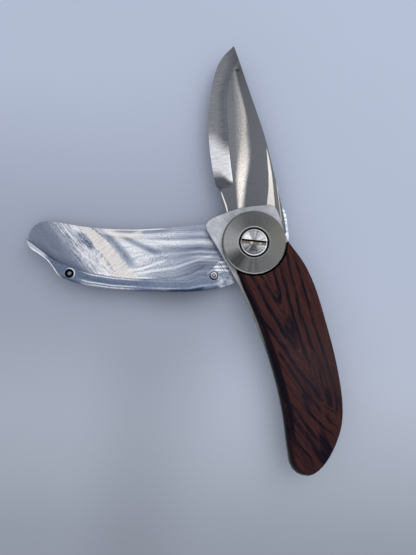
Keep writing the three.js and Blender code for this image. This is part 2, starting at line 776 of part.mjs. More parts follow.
// Line from the start of the edge to the tang's round
function choilLine() {
  const start = bladePoint(0, EDGE_DEPTH - EDGE_STEP_UP);
  const [end] = arc(TANG_RADIUS, CHOIL_TURN, CHOIL_TURN, 1);
  const between = (along, across) => [
    THREE.MathUtils.lerp(end.x, start[0], along),
    THREE.MathUtils.lerp(end.y, start[1], across),
  ];
  const knots = [
    start,
    between(0.958, 0.69),
    between(0.726, 0.43),
    between(0.488, 0.17),
    between(0.244, -0.03),
    between(0, 0),
  ];
  return smooth(knots, EDGE_STEP);
}

function bladeOutline() {
  const spur = spurTurn();
  const spurMiddle = [spurReach * Math.cos(radians(spur)), spurReach * Math.sin(radians(spur))];
  const spurEnd = arc(SPUR_RADIUS, spur + 90, spur - 90, 8, ...spurMiddle);
  const flank = THREE.MathUtils.radToDeg(Math.asin(SPUR_RADIUS / TANG_RADIUS)) + SPUR_RUNOUT;
  return anticlockwise([
    ...smooth(spineKnots(), SPINE_STEP),
    ...smooth(edgeKnots(), EDGE_STEP).slice(1),
    ...choilLine().slice(1, -1),
    ...arc(TANG_RADIUS, CHOIL_TURN, spur - flank, 16),
    ...spurEnd.slice().reverse(),
    ...arc(TANG_RADIUS, spur + flank, SPINE_TURN, 5),
  ]);
}

// How far a place lies along the edge, from 0 at the ricasso to 1 at the tip
function alongEdge(x) {
  return (x - RICASSO_REACH) / (bladeReach - RICASSO_REACH);
}

// Height of the line where the hollow grind starts
function grindLine(x) {
  const along = Math.max(0, alongEdge(x));
  const bowed = GRIND_HEIGHT + GRIND_BOW * Math.sin(0.9 * Math.PI * Math.min(along, GRIND_BEND));
  const bent = Math.max(0, along - GRIND_BEND) / (GRIND_END - GRIND_BEND);
  return bowed - GRIND_FALL * bent ** 2.2;
}

// Half of the thickness at one place: across runs from -1 at the spine over 0 on the main face to 1
// at the edge
function halfThickness(x, across) {
  const along = THREE.MathUtils.clamp(alongEdge(x), 0, 1);
  const full = THREE.MathUtils.lerp(BLADE_THICKNESS, TIP_THICKNESS, along ** 2.2) / 2;
  const ramp = THREE.MathUtils.smoothstep(x, RICASSO_REACH - GRIND_RAMP, RICASSO_REACH + GRIND_LEAD);
  const part = Math.max(0, across);
  const depth = part * (2 - part) * GRIND_HOLLOW + part * (1 - GRIND_HOLLOW);
  const swage = Math.max(0, -across) * SWAGE_DROP * (1 - THREE.MathUtils.smoothstep(x, ...SWAGE_REACHES));
  return full - swage - ramp * depth * (full - EDGE_THICKNESS / 2);
}

// Height of the edge at one place, straight on past its two ends
function edgeHeight(edge, x) {
  const next = edge.findIndex((p) => p.x >= x);
  if (next < 0) return edge.at(-1).y;
  if (next === 0) return edge[0].y;
  const [a, b] = [edge[next - 1], edge[next]];
  return THREE.MathUtils.lerp(a.y, b.y, (x - a.x) / (b.x - a.x));
}

// Blank with the grinds on both faces, wider than the blade's outline
function groundBlank() {
  const far = 1.6 * TANG_RADIUS + spurReach;
  const rampStart = RICASSO_REACH - GRIND_RAMP;
  const rampEnd = RICASSO_REACH + GRIND_LEAD;
  const spread = (from, to, count) => Array.from({ length: count }, (_, i) => from + ((to - from) * (i + 1)) / count);
  const stations = [
    -far,
    rampStart,
    ...spread(rampStart, rampEnd, RAMP_STATIONS),
    ...spread(rampEnd, bladeReach + GRIND_LEAD, GRIND_STATIONS),
  ];
  const edge = smooth(edgeKnots(), EDGE_STEP / 2).reverse();
  const rings = stations.map((x) => {
    const line = grindLine(x);
    const brink = Math.max(line + GRIND_LEAST, edgeHeight(edge, x));
    const faces = [0.2, 0.4, 0.6, 0.8, 1].map((part) => [
      THREE.MathUtils.lerp(line, brink, part),
      halfThickness(x, part),
    ]);
    const heights = [
      [-far, halfThickness(x, -1)],
      [-SPINE_HEIGHT, halfThickness(x, -1)],
      [-SWAGE_LINE, halfThickness(x, 0)],
      [line, halfThickness(x, 0)],
      ...faces,
      [far, halfThickness(x, 1)],
    ];
    const upper = heights.map(([y, z]) => [x, y, z]);
    const lower = heights.map(([y, z]) => [x, y, -z]).reverse();
    return [...upper, ...lower];
  });
  return lofted(rings);
}

function blade() {
  const flat = prism(bladeOutline(), -BLADE_THICKNESS, BLADE_THICKNESS);
  const bore = rod(BARREL_RADIUS + TURNING_PLAY, -BLADE_THICKNESS, BLADE_THICKNESS, RING_STEPS);
  return flat.intersect(groundBlank()).subtract(bore);
}

// Assembly

function piece(name, solid, material) {
  const mesh = new THREE.Mesh(toGeometry(solid), material);
  mesh.name = name;
  return mesh;
}

const rearHalf = new THREE.Group();
rearHalf.rotation.z = radians(REAR_TURN);
rearHalf.add(
  piece("rear_frame", rearFrame(), polishedAluminium),
  piece("rear_scale", rearScale(), rosewood),
  ...scalePins(-1, "rear_scale_pin"),
  piece("rear_stop_pin", stopPin(-1), brightSteel),
  piece("detent_ball", detentBall(), brightSteel),
  piece("detent_spring", detentSpring(), springSteel),
  piece("detent_plug", detentPlug(), springSteel),
);

const pivot = new THREE.Group();
pivot.add(
  piece("rear_disc", rearDisc(), turnedSteel),
  piece("pivot_barrel", pivotBarrel(), turnedSteel),
  piece("rear_washer", washer(-1), bronze),
  piece("front_washer", washer(1), bronze),
  piece("spring_washer", springWasher(), springSteel),
  piece("front_disc", frontDisc(), turnedSteel),
  piece("pivot_screw", pivotScrew(), brightSteel),
);

const openBlade = new THREE.Group();
openBlade.rotation.z = radians(REAR_TURN - REAR_OPEN_TURN);
openBlade.add(piece("blade", blade(), bladeSteel));

const frontHalf = new THREE.Group();
frontHalf.rotation.z = radians(REAR_TURN - REAR_OPEN_TURN + OPEN_TURN);
frontHalf.add(
  piece("front_frame", frontFrame(), satinAluminium),
  piece("front_scale", frontScale(), rosewood),
  ...scalePins(1, "front_scale_pin"),
  piece("front_stop_pin", stopPin(1), brightSteel),
);

const knife = new THREE.Group();
knife.name = "folding_knife";
knife.position.z = outerFace;
knife.add(rearHalf, pivot, openBlade, frontHalf);

export default knife;
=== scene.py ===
from math import cos, pi, radians, sin

import bpy
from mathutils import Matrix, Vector


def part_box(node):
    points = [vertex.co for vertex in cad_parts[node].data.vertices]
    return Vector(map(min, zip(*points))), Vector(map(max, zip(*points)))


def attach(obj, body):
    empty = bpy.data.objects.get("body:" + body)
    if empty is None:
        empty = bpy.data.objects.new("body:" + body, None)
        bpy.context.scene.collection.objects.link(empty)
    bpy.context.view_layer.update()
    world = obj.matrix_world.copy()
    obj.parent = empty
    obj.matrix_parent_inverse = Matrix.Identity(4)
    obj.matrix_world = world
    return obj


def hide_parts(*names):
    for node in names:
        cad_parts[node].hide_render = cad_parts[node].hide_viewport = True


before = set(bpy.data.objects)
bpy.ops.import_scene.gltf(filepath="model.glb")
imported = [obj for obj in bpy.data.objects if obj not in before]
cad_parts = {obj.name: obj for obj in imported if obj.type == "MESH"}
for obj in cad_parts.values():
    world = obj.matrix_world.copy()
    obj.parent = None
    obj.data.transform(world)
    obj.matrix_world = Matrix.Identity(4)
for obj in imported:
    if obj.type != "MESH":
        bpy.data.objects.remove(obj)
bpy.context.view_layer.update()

bl_info = {
    "name": "Folding Pocket Knife",
    "version": (1, 0, 0),
    "blender": (4, 5, 0),
    "location": "View3D > Sidebar > Knife",
    "description": "Finishes the pieces of a folding knife with a swing handle, and its stage",
    "category": "Object",
}

MM = 0.001

# directions of the three swinging pieces, in degrees about the pivot
REAR_TURN = 180
BLADE_TURN = 97.7
FRONT_TURN = 285.6

# heights above the floor in millimetres: the blade's middle, the front plate's top, the pocket's land,
# the wall's rise from it, the slot in the bolt's head, and the gap beside the head
MID_HEIGHT = 7.1
PLATE_TOP = (10.6, 10.65)
LAND_HEIGHTS = (4.85, 5.2)
WALL_RISE = (5.3, 6.5)
SLOT_HEIGHTS = (12.7, 13.84)
GAP_HEIGHTS = (12, 13.6)

# stage: level of the soft light from all around, side and height of the floor in metres, then the
# camera's sensor and lens in millimetres
ROOM_LIGHT = 0.9
FLOOR_SIDE = 6
FLOOR_HEIGHT = -0.02 * MM
SENSOR_WIDTH = 24
LENS = 18.16

# Lines and places of the finishes are in millimetres, on each piece's own axes: first along it from
# the pivot, then across it towards its back

# dark lines of the wood: half the line's width, then its points
WOOD_LINES = (
    (1, (11, -4.8), (21.6, -1.3), (26.1, -0.6), (31.8, 1.7), (39.6, 3.4)),
    (1, (12, -9), (22.9, -6), (28.9, -4.5), (34.9, -1.5), (43.4, 2.3), (51.5, 4.8), (58.9, 8.3), (66, 11.3)),
    (0.7, (11, -1.2), (16.1, 0.7), (22.4, 2.5), (25.5, 3.2)),
    (0.8, (12, 5.2), (15.3, 5), (22.2, 5), (26, 3.9)),
    (0.8, (10, 8.1), (16.3, 8), (24.3, 7.9), (35.3, 8.2), (43, 9), (52, 10.4)),
    (0.7, (6, 11.2), (17.8, 11.4), (34.2, 11.4), (43.3, 12.1), (49.2, 13.8), (59.9, 12.8), (66.8, 14.7)),
    (0.6, (2, 14), (12.6, 14.4), (20.3, 14.8), (38, 15.6), (50.8, 16.9), (58.7, 17.1), (67.3, 16.8),
     (71.3, 15.8)),
    (1, (28, -7), (39.7, -5), (51, -2.7), (61, -1.7), (70.9, -0.6), (76.7, 2), (84.1, 5.1), (89, 7)),
    (0.8, (44, -0.6), (54.9, 3.8), (61.2, 5.7), (65.7, 8.6), (70, 10.4)),
    (0.8, (61.5, 4.7), (70, 6.1), (75.7, 10.1), (79.2, 13.2)),
    (0.9, (64, -0.8), (74.2, 3.6), (79.6, 6.2), (86.3, 8.5)),
    (0.8, (72, -4.2), (80.3, -0.9), (84.7, 1.5), (88.7, 2.5)),
    (0.6, (68, 12.1), (71.8, 15.7)),
    (0.6, (71, 11.4), (74.5, 13), (76.5, 14.8)),
)

# dark patches of the wood: depth, middle, and reach each way
WOOD_PATCHES = (
    (0.9, (38, 6), (7, 2.6)),
    (0.8, (23.5, 4), (3.5, 1.2)),
    (0.85, (65.4, 14.2), (4, 1.3)),
    (0.7, (83, 8.6), (6.5, 2.4)),
    (0.45, (62.5, 6.6), (5, 1.8)),
)

# the grip's front edge, and where the wood and the pocket's floor follow it
GRIP_EDGE = ((20, -8.4), (33, -6), (47, -4.5), (58, -4.1), (69, -4.4), (81, -5.7))
WOOD_EDGE = ((8, -11.4), *GRIP_EDGE, (90, -5))
FRONT_EDGE = ((12, -11), *GRIP_EDGE, (90, -5.6))

# pocket's floor: the streaks' rise along it and their bend across it, the painted reflection levels across
# the streaks near the pivot and farther along, and the painted reflection levels along the slanting bands
FLOW_RISE = ((15, -0.5), (22, 0), (30, 3.6), (40, 5.4), (49, 7.4), (58, 9))
FLOW_BEND = ((-8, 0.25), (3, 0.25), (6, 0.45), (9, 0.75), (12.6, 1), (20, 0.95))
PIVOT_ROWS = (
    (-9, 0.35), (-5.6, 0.42), (-4.3, 0.7), (-3.3, 0.55), (-2.4, 0.3), (-1.3, 0.8), (-0.2, 0.85), (0.7, 0.55),
    (1.6, 0.3), (2.5, 0.18), (3.1, 0.4), (3.7, 0.7), (4.4, 0.28), (5.2, 0.45), (5.8, 0.68), (6.5, 0.35),
    (7.1, 0.6), (7.8, 0.32), (9, 0.26), (10.2, 0.28), (10.9, 0.18), (11.6, 0.45), (12.6, 0.3), (14, 0.3),
)
MIDDLE_ROWS = (
    (-9, 0.5), (-5, 0.62), (-4, 0.75), (-3, 0.64), (-1, 0.84), (2, 0.8), (4, 0.72), (6, 0.66), (7.6, 0.64),
    (9, 0.55), (11, 0.6), (14, 0.55),
)
SLANT_BANDS = (
    (60, 0.62), (62, 0.78), (67.6, 0.8), (69.2, 0.66), (72, 0.66), (75.5, 0.58), (78, 0.42), (80.5, 0.24),
    (83, 0.12), (86, 0.07), (91, 0.11), (97, 0.3),
)

# painted shade, dark reflections and highlights: streaks on the floor
BAND_SHADOW = ((-5, 63.5), (-2.4, 62.6), (0.5, 60.9), (3, 60.4))
WEDGE = ((-2.5, 59.8), (2.5, 58.9), (6, 58.7), (10.5, 59.6))
LOWER_SHADOW = ((39.5, 4.8), (45.7, 2.6), (48.9, 1.2), (54.5, -1.2))
LOWER_LIGHT = ((46, -3.6), (51.1, -1.6), (56.4, -1.8), (63, -3.2))
UPPER_LIGHT = ((36, 8.2), (40.6, 9.8), (44.7, 11.9), (52, 13.2))
ARC_LIGHT = ((16.4, 5.2), (22.5, 7.1), (32.7, 11.3), (40.4, 12.7), (48.1, 14.7))
ARC_DARK = ((19.3, 9.5), (24.8, 13), (32.5, 15.4), (42.8, 16.4), (50, 16.7), (58.4, 15.5))

# wall: its foot and its outer edge, the painted reflection levels across it near the pivot and farther
# along, and the rim of the thumb notch, where a highlight is painted
WALL_FOOT = (
    (20, 14), (25, 16.1), (32, 16.7), (47.2, 16.7), (56.4, 16.4), (64.6, 15.4), (72.9, 12.7), (80.8, 10.1),
    (94, 0.4),
)
WALL_BACK = (
    (5, 15.5), (15, 18.6), (25, 20.6), (37, 21.2), (55, 21.3), (67, 20.4), (73, 19), (80, 16.1), (94, 3),
)
WALL_NEAR = (
    (0, 0.35), (0.08, 0.55), (0.2, 0.36), (0.6, 0.36), (0.72, 0.6), (0.79, 0.5), (0.84, 0.3), (1, 0.3),
)
WALL_FAR = (
    (0, 0.45), (0.07, 0.9), (0.14, 0.7), (0.2, 0.3), (0.5, 0.22), (0.62, 0.4), (0.7, 1), (0.76, 0.3),
    (0.84, 0.6), (0.91, 1), (1, 0.6),
)
NOTCH_EDGE = ((76.9, 18), (78.4, 16.6), (79.8, 14.8), (82.5, 11.5), (86.7, 8.4), (90.6, 6.2), (92.7, 3))

# painted reflections: bright bars on the land by the pivot; and the ball's place
LAND_BARS = (
    ((8.5, 9.1), (16, 9.7)),
    ((7.5, 10.9), (15.2, 10.9)),
    ((10, 7.3), (14.6, 7.8)),
)
BALL = (73.8, 15.8)

# blade: both sides of the painted bright band and its glow along it, the grind's line, the painted sliver of
# light by the tang, and the spine's rim and the line by the choil, where highlights are painted
BAND_SPINE_SIDE = (
    (12, 2.3), (17.4, 1.4), (21, 0.7), (26.9, -0.5), (32.9, -2.1), (38.9, -3), (45.1, -3), (53.1, -2.7),
    (60.7, -1.7), (68.9, -0.4), (76, 0.4),
)
BAND_EDGE_SIDE = ((12, 5.2), (27.4, 5.2), (36.5, 4.4), (45.6, 3.8), (54.9, 3.3), (67.3, 2.8), (76, 2))
BAND_GLOW = (
    (12, 0.67), (20, 0.71), (27, 0.72), (31, 0.66), (36, 0.54), (40, 0.44), (45, 0.38), (50, 0.345),
    (60, 0.31), (68, 0.26), (76, 0.18),
)
GRIND_LINE = (
    (22, 5.5), (26.2, 5.7), (33.5, 6), (44, 6.2), (55, 6), (61, 5.7), (67.4, 4.4), (70.1, 3.8), (78.2, -0.1),
)
SLIVER_LOW = ((10, -6.2), (16.7, -7.2), (23.2, -8.5), (29.3, -9), (35.4, -9.1), (42.1, -9.2))
SLIVER_HIGH = ((10, -10.8), (23, -10.9), (29.1, -10.8), (35.3, -10.3), (42.1, -9.4))
RIM_LINE = ((10, -12.7), (26, -12.2), (36, -10.9), (44, -9.6))
CHOIL_LINE = ((13, 9.1), (14.5, 9.2), (16.9, 9.5), (21.8, 10.8), (25, 12.3))

# painted reflections: levels around the turned faces, by the turn in degrees from the X axis
DISC_FAN = (
    (-180, 0.98), (-160, 0.85), (-148, 0.4), (-136, 0.19), (-122, 0.21), (-112, 0.36), (-104, 0.48),
    (-97, 0.32), (-90, 0.48), (-84, 0.34), (-76, 0.44), (-55, 0.44), (-35, 0.5), (-12, 0.5), (15, 0.48),
    (35, 0.42), (60, 0.32), (90, 0.28), (115, 0.31), (140, 0.55), (160, 0.85), (180, 0.98),
)
CHAMFER_FAN = (
    (-180, 0.16), (-150, 0.18), (-125, 0.24), (-90, 0.36), (-60, 0.38), (-30, 0.34), (0, 0.36), (30, 0.29),
    (60, 0.26), (90, 0.24), (120, 0.2), (150, 0.16), (180, 0.16),
)
HEAD_FAN = (
    (-180, 0.6), (-165, 0.34), (-140, 0.2), (-110, 0.13), (-88, 0.18), (-60, 0.2), (-35, 0.36), (-15, 0.42),
    (0, 0.5), (20, 0.6), (45, 0.48), (70, 0.26), (85, 0.38), (100, 0.22), (120, 0.45), (145, 0.8),
    (170, 0.75), (180, 0.6),
)

# radii in millimetres where the tone of a disc changes: at its bore and its rim, both painted dark as shade,
# at its bore's chamfer and at its own chamfer; then the tint of the painted light on the chamfers
DISC_BORE = (5.95, 6.05)
BORE_CHAMFER = (6.35, 6.5)
OUTER_CHAMFER = (12.1, 12.2)
DISC_RIM = (12.6, 12.66)
CHAMFER_TINT = (1, 1, 0.98)

# painted reflections and shade: levels in rings around the middle of a stop pin's end and of the ball, by
# the radius
PIN_RINGS = (
    (0, 0.5), (0.3, 0.4), (0.6, 0.1), (0.85, 0.14), (1.05, 0.62), (1.3, 0.58), (1.5, 0.1), (1.8, 0.06),
)
BALL_RINGS = ((0, 0.27), (0.4, 0.22), (0.75, 0.1), (1.1, 0.012), (1.6, 0.012))

# place of the punch mark in the bolt's head
PUNCH_MARK = (-2.9, -3)


# Properties

def length(name, description, millimetres):
    return bpy.props.FloatProperty(
        name=name, description=description, default=millimetres * MM, min=0, precision=5, unit="LENGTH")


def colour(name, description, value):
    return bpy.props.FloatVectorProperty(
        name=name, description=description, default=value, size=3, min=0, max=2, subtype="COLOR")


class KnifeSizes(bpy.types.PropertyGroup):
    """Sizes of the finished edges"""

    plate_edge: length("Plate edge", "Broken edge of the metal plates", 0.06)
    blade_edge: length("Blade edge", "Broken edge of the blade's spine and tang", 0.09)
    disc_chamfer: length("Disc chamfer", "Width of the turned chamfer around the pivot discs", 0.55)
    disc_chamfer_drop: length("Disc chamfer drop", "Drop of that chamfer", 0.4)
    bore_chamfer: length("Bore chamfer", "Turned chamfer of the discs' bores and inner rims", 0.25)
    head_edge: length("Head edge", "Rounded rim of the bolt's head", 0.3)
    slot_width: length("Slot width", "Width of the slot in the bolt's head", 1.9)
    slot_depth: length("Slot depth", "Depth of the slot in the bolt's head", 0.9)
    dot_radius: length("Punch mark", "Radius of the punch mark in the bolt's head", 0.25)
    slot_turn: bpy.props.FloatProperty(
        name="Slot turn", description="Direction of the slot, from the X axis",
        default=radians(-3), subtype="ANGLE")


class KnifeColours(bpy.types.PropertyGroup):
    """Colours of the finishes"""

    wood: colour("Wood", "Brown ground of the wooden scales", (0.053, 0.018, 0.016))
    # wood_light gives the lighter grain, and also a painted highlight along the rounded front edge
    wood_light: colour("Light wood", "Reddish lights of the wood", (0.12, 0.042, 0.029))
    # wood_shade is painted shade on the rounded edges of the scales
    wood_shade: colour("Shaded wood", "Wood of the rounded front edge", (0.007, 0.0025, 0.003))
    # wood_sheen is a painted sheen over the middle of the grip
    wood_sheen: colour("Wood sheen", "Greyish sheen on the middle of the grip", (0.042, 0.034, 0.04))
    wood_dark: colour("Dark wood", "Near-black figure of the wood", (0.0042, 0.0032, 0.0095))
    plate: colour("Plate", "Satin aluminium of the front plate", (0.34, 0.35, 0.375))
    plate_edge: colour("Plate strip", "Duller strip of the plate beside the wood", (0.25, 0.248, 0.205))
    pocket: colour("Pocket", "Polished floor of the rear half", (0.4, 0.44, 0.53))
    # pocket_dark, pocket_light and pocket_warm are painted reflections on the polished floor; pocket_light
    # also paints the highlights on the wall and the land
    pocket_dark: colour("Dark pocket", "Darker bands of the polished floor", (0.12, 0.145, 0.21))
    pocket_light: colour("Light pocket", "Bright bands of the polished floor", (0.96, 0.96, 0.98))
    pocket_warm: colour("Warm pocket", "Warm bright band of the polished floor", (0.84, 0.75, 0.67))
    wall: colour("Wall", "Satin top of the wall", (0.24, 0.29, 0.39))
    wall_dark: colour("Dark wall", "Steel-blue parts of the wall", (0.045, 0.07, 0.14))
    blade: colour("Blade", "Satin steel of the blade", (0.94, 0.98, 1.09))
    # blade_light tints the painted highlights of the blade
    blade_light: colour("Light blade", "Tint of the blade's brightest parts", (1.05, 0.985, 0.91))
    disc: colour("Disc", "Turned steel of the discs", (0.3, 0.3, 0.3))
    disc_tint: colour("Tinted disc", "Olive side of the discs", (0.3, 0.296, 0.245))
    screw: colour("Screw", "Turned steel of the bolt's head", (1, 0.985, 0.97))
    screw_dark: colour("Dark screw", "Shaded turns of the bolt's head", (0.93, 0.97, 1.05))
    slot: colour("Slot", "Dull floor of the bolt's slot", (0.165, 0.148, 0.112))
    # painted shade: gap is near-black for the shade around the ball, the bolt's head and the discs' bores
    # and rims, and under the slot's upper wall
    gap: colour("Gap", "Blackened gap around the bolt's head", (0.003, 0.003, 0.003))
    bronze: colour("Bronze", "Washers", (0.5, 0.3, 0.12))
    spring: colour("Spring steel", "Springs, plug and pins", (0.22, 0.22, 0.24))


class KnifeStage(bpy.types.PropertyGroup):
    """Floor, lights and camera"""

    floor: colour("Floor", "Pale floor that the knife lies on", (0.42, 0.465, 0.575))
    floor_grey: colour("Grey floor", "Its greyer part nearest to the camera", (0.43, 0.465, 0.54))
    sky: colour("Sky", "Soft light from all around", (0.94, 0.96, 1))
    key_power: bpy.props.FloatProperty(
        name="Key power", description="Power of the large lamp at the upper right",
        default=1.5, min=0, unit="POWER")
    key_size: bpy.props.FloatProperty(
        name="Key size", description="Side of the large lamp", default=0.6, min=0, unit="LENGTH")
    key_place: bpy.props.FloatVectorProperty(
        name="Key place", description="Middle of the large lamp", default=(0.35, 0.35, 0.6), subtype="XYZ")
    camera_place: bpy.props.FloatVectorProperty(
        name="Camera place", description="Camera above the table", default=(-0.0177, -0.02795, 0.1787),
        precision=5, subtype="XYZ")
    camera_turn: bpy.props.FloatVectorProperty(
        name="Camera turn", description="Turn of the camera from looking straight down",
        default=(radians(4.5), radians(-0.28), radians(2.93)), subtype="EULER")


# Shader maths

class Field:
    """One shader socket. Python expressions on it add the nodes that work them out"""

    def __init__(self, tree, socket=None):
        self.tree = tree
        self.socket = socket

    def node(self, kind, settings, inputs, output=0):
        """Adds a node: its settings come first, then the values or links of its sockets"""
        added = self.tree.nodes.new(kind)
        for name, setting in settings.items():
            if name == "stops":
                fill_ramp(added.color_ramp, setting)
            else:
                setattr(added, name, setting)
        for name, value in inputs.items():
            if isinstance(value, Field):
                self.tree.links.new(value.socket, added.inputs[name])
            else:
                added.inputs[name].default_value = value
        return Field(self.tree, added.outputs[output])

    def math(self, operation, first, second=0, third=0):
        return self.node("ShaderNodeMath", {"operation": operation}, {0: first, 1: second, 2: third})

    def __add__(self, other):
        return self.math("ADD", self, other)

    __radd__ = __add__

    def __sub__(self, other):
        return self.math("SUBTRACT", self, other)

    def __rsub__(self, other):
        return self.math("SUBTRACT", other, self)

    def __mul__(self, other):
        return self.math("MULTIPLY", self, other)

    __rmul__ = __mul__

    def __truediv__(self, other):
        return self.math("DIVIDE", self, other)

    def __pow__(self, other):
        return self.math("POWER", self, other)

    def sine(self):
        return self.math("SINE", self)

    def absolute(self):
        return self.math("ABSOLUTE", self)

    def larger(self, other, softness=0):
        if softness:
            return self.math("SMOOTH_MAX", self, other, softness)
        return self.math("MAXIMUM", self, other)

    def span(self, start, end, low=0, high=1):
        """Low before start, high after end, and smooth in between"""
        inputs = {"Value": self, "From Min": start, "From Max": end, "To Min": low, "To Max": high}
        return self.node("ShaderNodeMapRange", {"interpolation_type": "SMOOTHSTEP"}, inputs)

    def drop(self, start, end):
        """1 before start, 0 after end, and smooth in between"""
        return self.span(start, end, 1, 0)

    def vary(self, low, high):
        """From low to high, where this field is a noise"""
        return self.span(0.3, 0.7, low, high)

    def near(self, middle, core, reach):
        """1 up to core away from middle, and 0 from reach away"""
        return (self - middle).absolute().drop(core, reach)

    def hump(self, middle, half_width):
        """1 at middle, and 0 from half_width away"""
        return self.near(middle, 0, half_width)

    def between(self, low, high, soft):
        """1 from low to high, with soft edges"""
        return (self - low).span(-soft, soft) * (high - self).span(-soft, soft)

    def line(self, points):
        """Height of the line through (place, height) points, at the place that this field gives"""
        first, last = points[0][0], points[-1][0]
        heights = [height for _, height in points]
        low = min(heights)
        reach = max(heights) - low or 1
        stops = [((place - first) / (last - first), (height - low) / reach) for place, height in points]
        share = (self - first) / (last - first)
        return share.node("ShaderNodeValToRGB", {"stops": stops}, {"Fac": share}) * reach + low

    def streak(self, height, points, half_width, core=0.25, ends=1.2):
        """1 where height is on the line through these points, 0 from half_width away or past its ends"""
        near = height.near(self.line(points), core * half_width, half_width)
        return near * self.between(points[0][0], points[-1][0], ends)

    def blend(self, low, high):
        """Number from low, where this field is 0, to high, where it is 1"""
        return self * (high - low) + low

    def mix(self, low, high):
        """Colour from low, where this field is 0, to high, where it is 1"""
        inputs = {0: self, 6: as_colour(low), 7: as_colour(high)}
        return self.node("ShaderNodeMix", {"data_type": "RGBA"}, inputs, output=2)

    def shade(self, base):
        """The colour base, times this field"""
        start = base if isinstance(base, Field) else tuple(base)
        return self.node("ShaderNodeVectorMath", {"operation": "SCALE"}, {0: start, "Scale": self})


def strongest(fields):
    """The largest of the fields at each place"""
    first, *others = fields
    for field in others:
        first = first.larger(field)
    return first


def as_colour(value):
    return value if isinstance(value, Field) else (*value, 1)


def fill_ramp(ramp, stops):
    while len(ramp.elements) < len(stops):
        ramp.elements.new(0.5)
    for element, (position, level) in zip(ramp.elements, stops):
        element.position = position
        element.color = (level, level, level, 1)


class Finish:
    """A material in the making. x, y and z are its piece's own axes in millimetres, turned with it"""

    def __init__(self, name, turn=0, **constants):
        self.material = bpy.data.materials.new(name)
        self.material.use_nodes = True
        self.tree = self.material.node_tree
        self.shader = self.tree.nodes["Principled BSDF"]
        for socket, value in constants.items():
            self.set(socket.replace("_", " "), value)
        start = Field(self.tree)
        place = start.node("ShaderNodeTexCoord", {}, {}, "Object")
        mapping = {"Vector": place, "Rotation": (0, 0, radians(-turn)), "Scale": (1 / MM, 1 / MM, 1 / MM)}
        self.place = start.node("ShaderNodeMapping", {"vector_type": "POINT"}, mapping)
        self.x, self.y, self.z = [
            start.node("ShaderNodeSeparateXYZ", {}, {0: self.place}, axis) for axis in "XYZ"]

    def noise(self, x, y, z=0, detail=3, roughness=0.5):
        """Noise around 0.5 with a grain of about 1 in these coordinates"""
        vector = self.place.node("ShaderNodeCombineXYZ", {}, {0: x, 1: y, 2: z})
        inputs = {"Vector": vector, "Scale": 1, "Detail": detail, "Roughness": roughness}
        return vector.node("ShaderNodeTexNoise", {}, inputs)

    def set(self, socket, value):
        if isinstance(value, Field):
            self.tree.links.new(value.socket, self.shader.inputs[socket])
        else:
            self.shader.inputs[socket].default_value = value

    def made(self, colour, roughness, relief, depth):
        """The material with these fields. Where relief is 1, it stands depth high, in millimetres"""
        inputs = {"Height": relief, "Distance": depth * MM, "Strength": 1}
        self.set("Normal", relief.node("ShaderNodeBump", {}, inputs))
        self.set("Roughness", roughness)
        self.set("Base Color", colour)
        return self.material


# Finishes

def three_tone(level, dark, middle, light):
    """Colour from dark, where level is 0, over middle at 0.5 to light at 1"""
    return (level * 2 - 1).mix((level * 2).mix(dark, middle), light)


def spot(x, y, place, reach):
    """1 inside an ellipse of this place and reach, fading out over its border"""
    across = (x - place[0]) / reach[0]
    along = (y - place[1]) / reach[1]
    return (across * across + along * along).drop(0.3, 1.4)


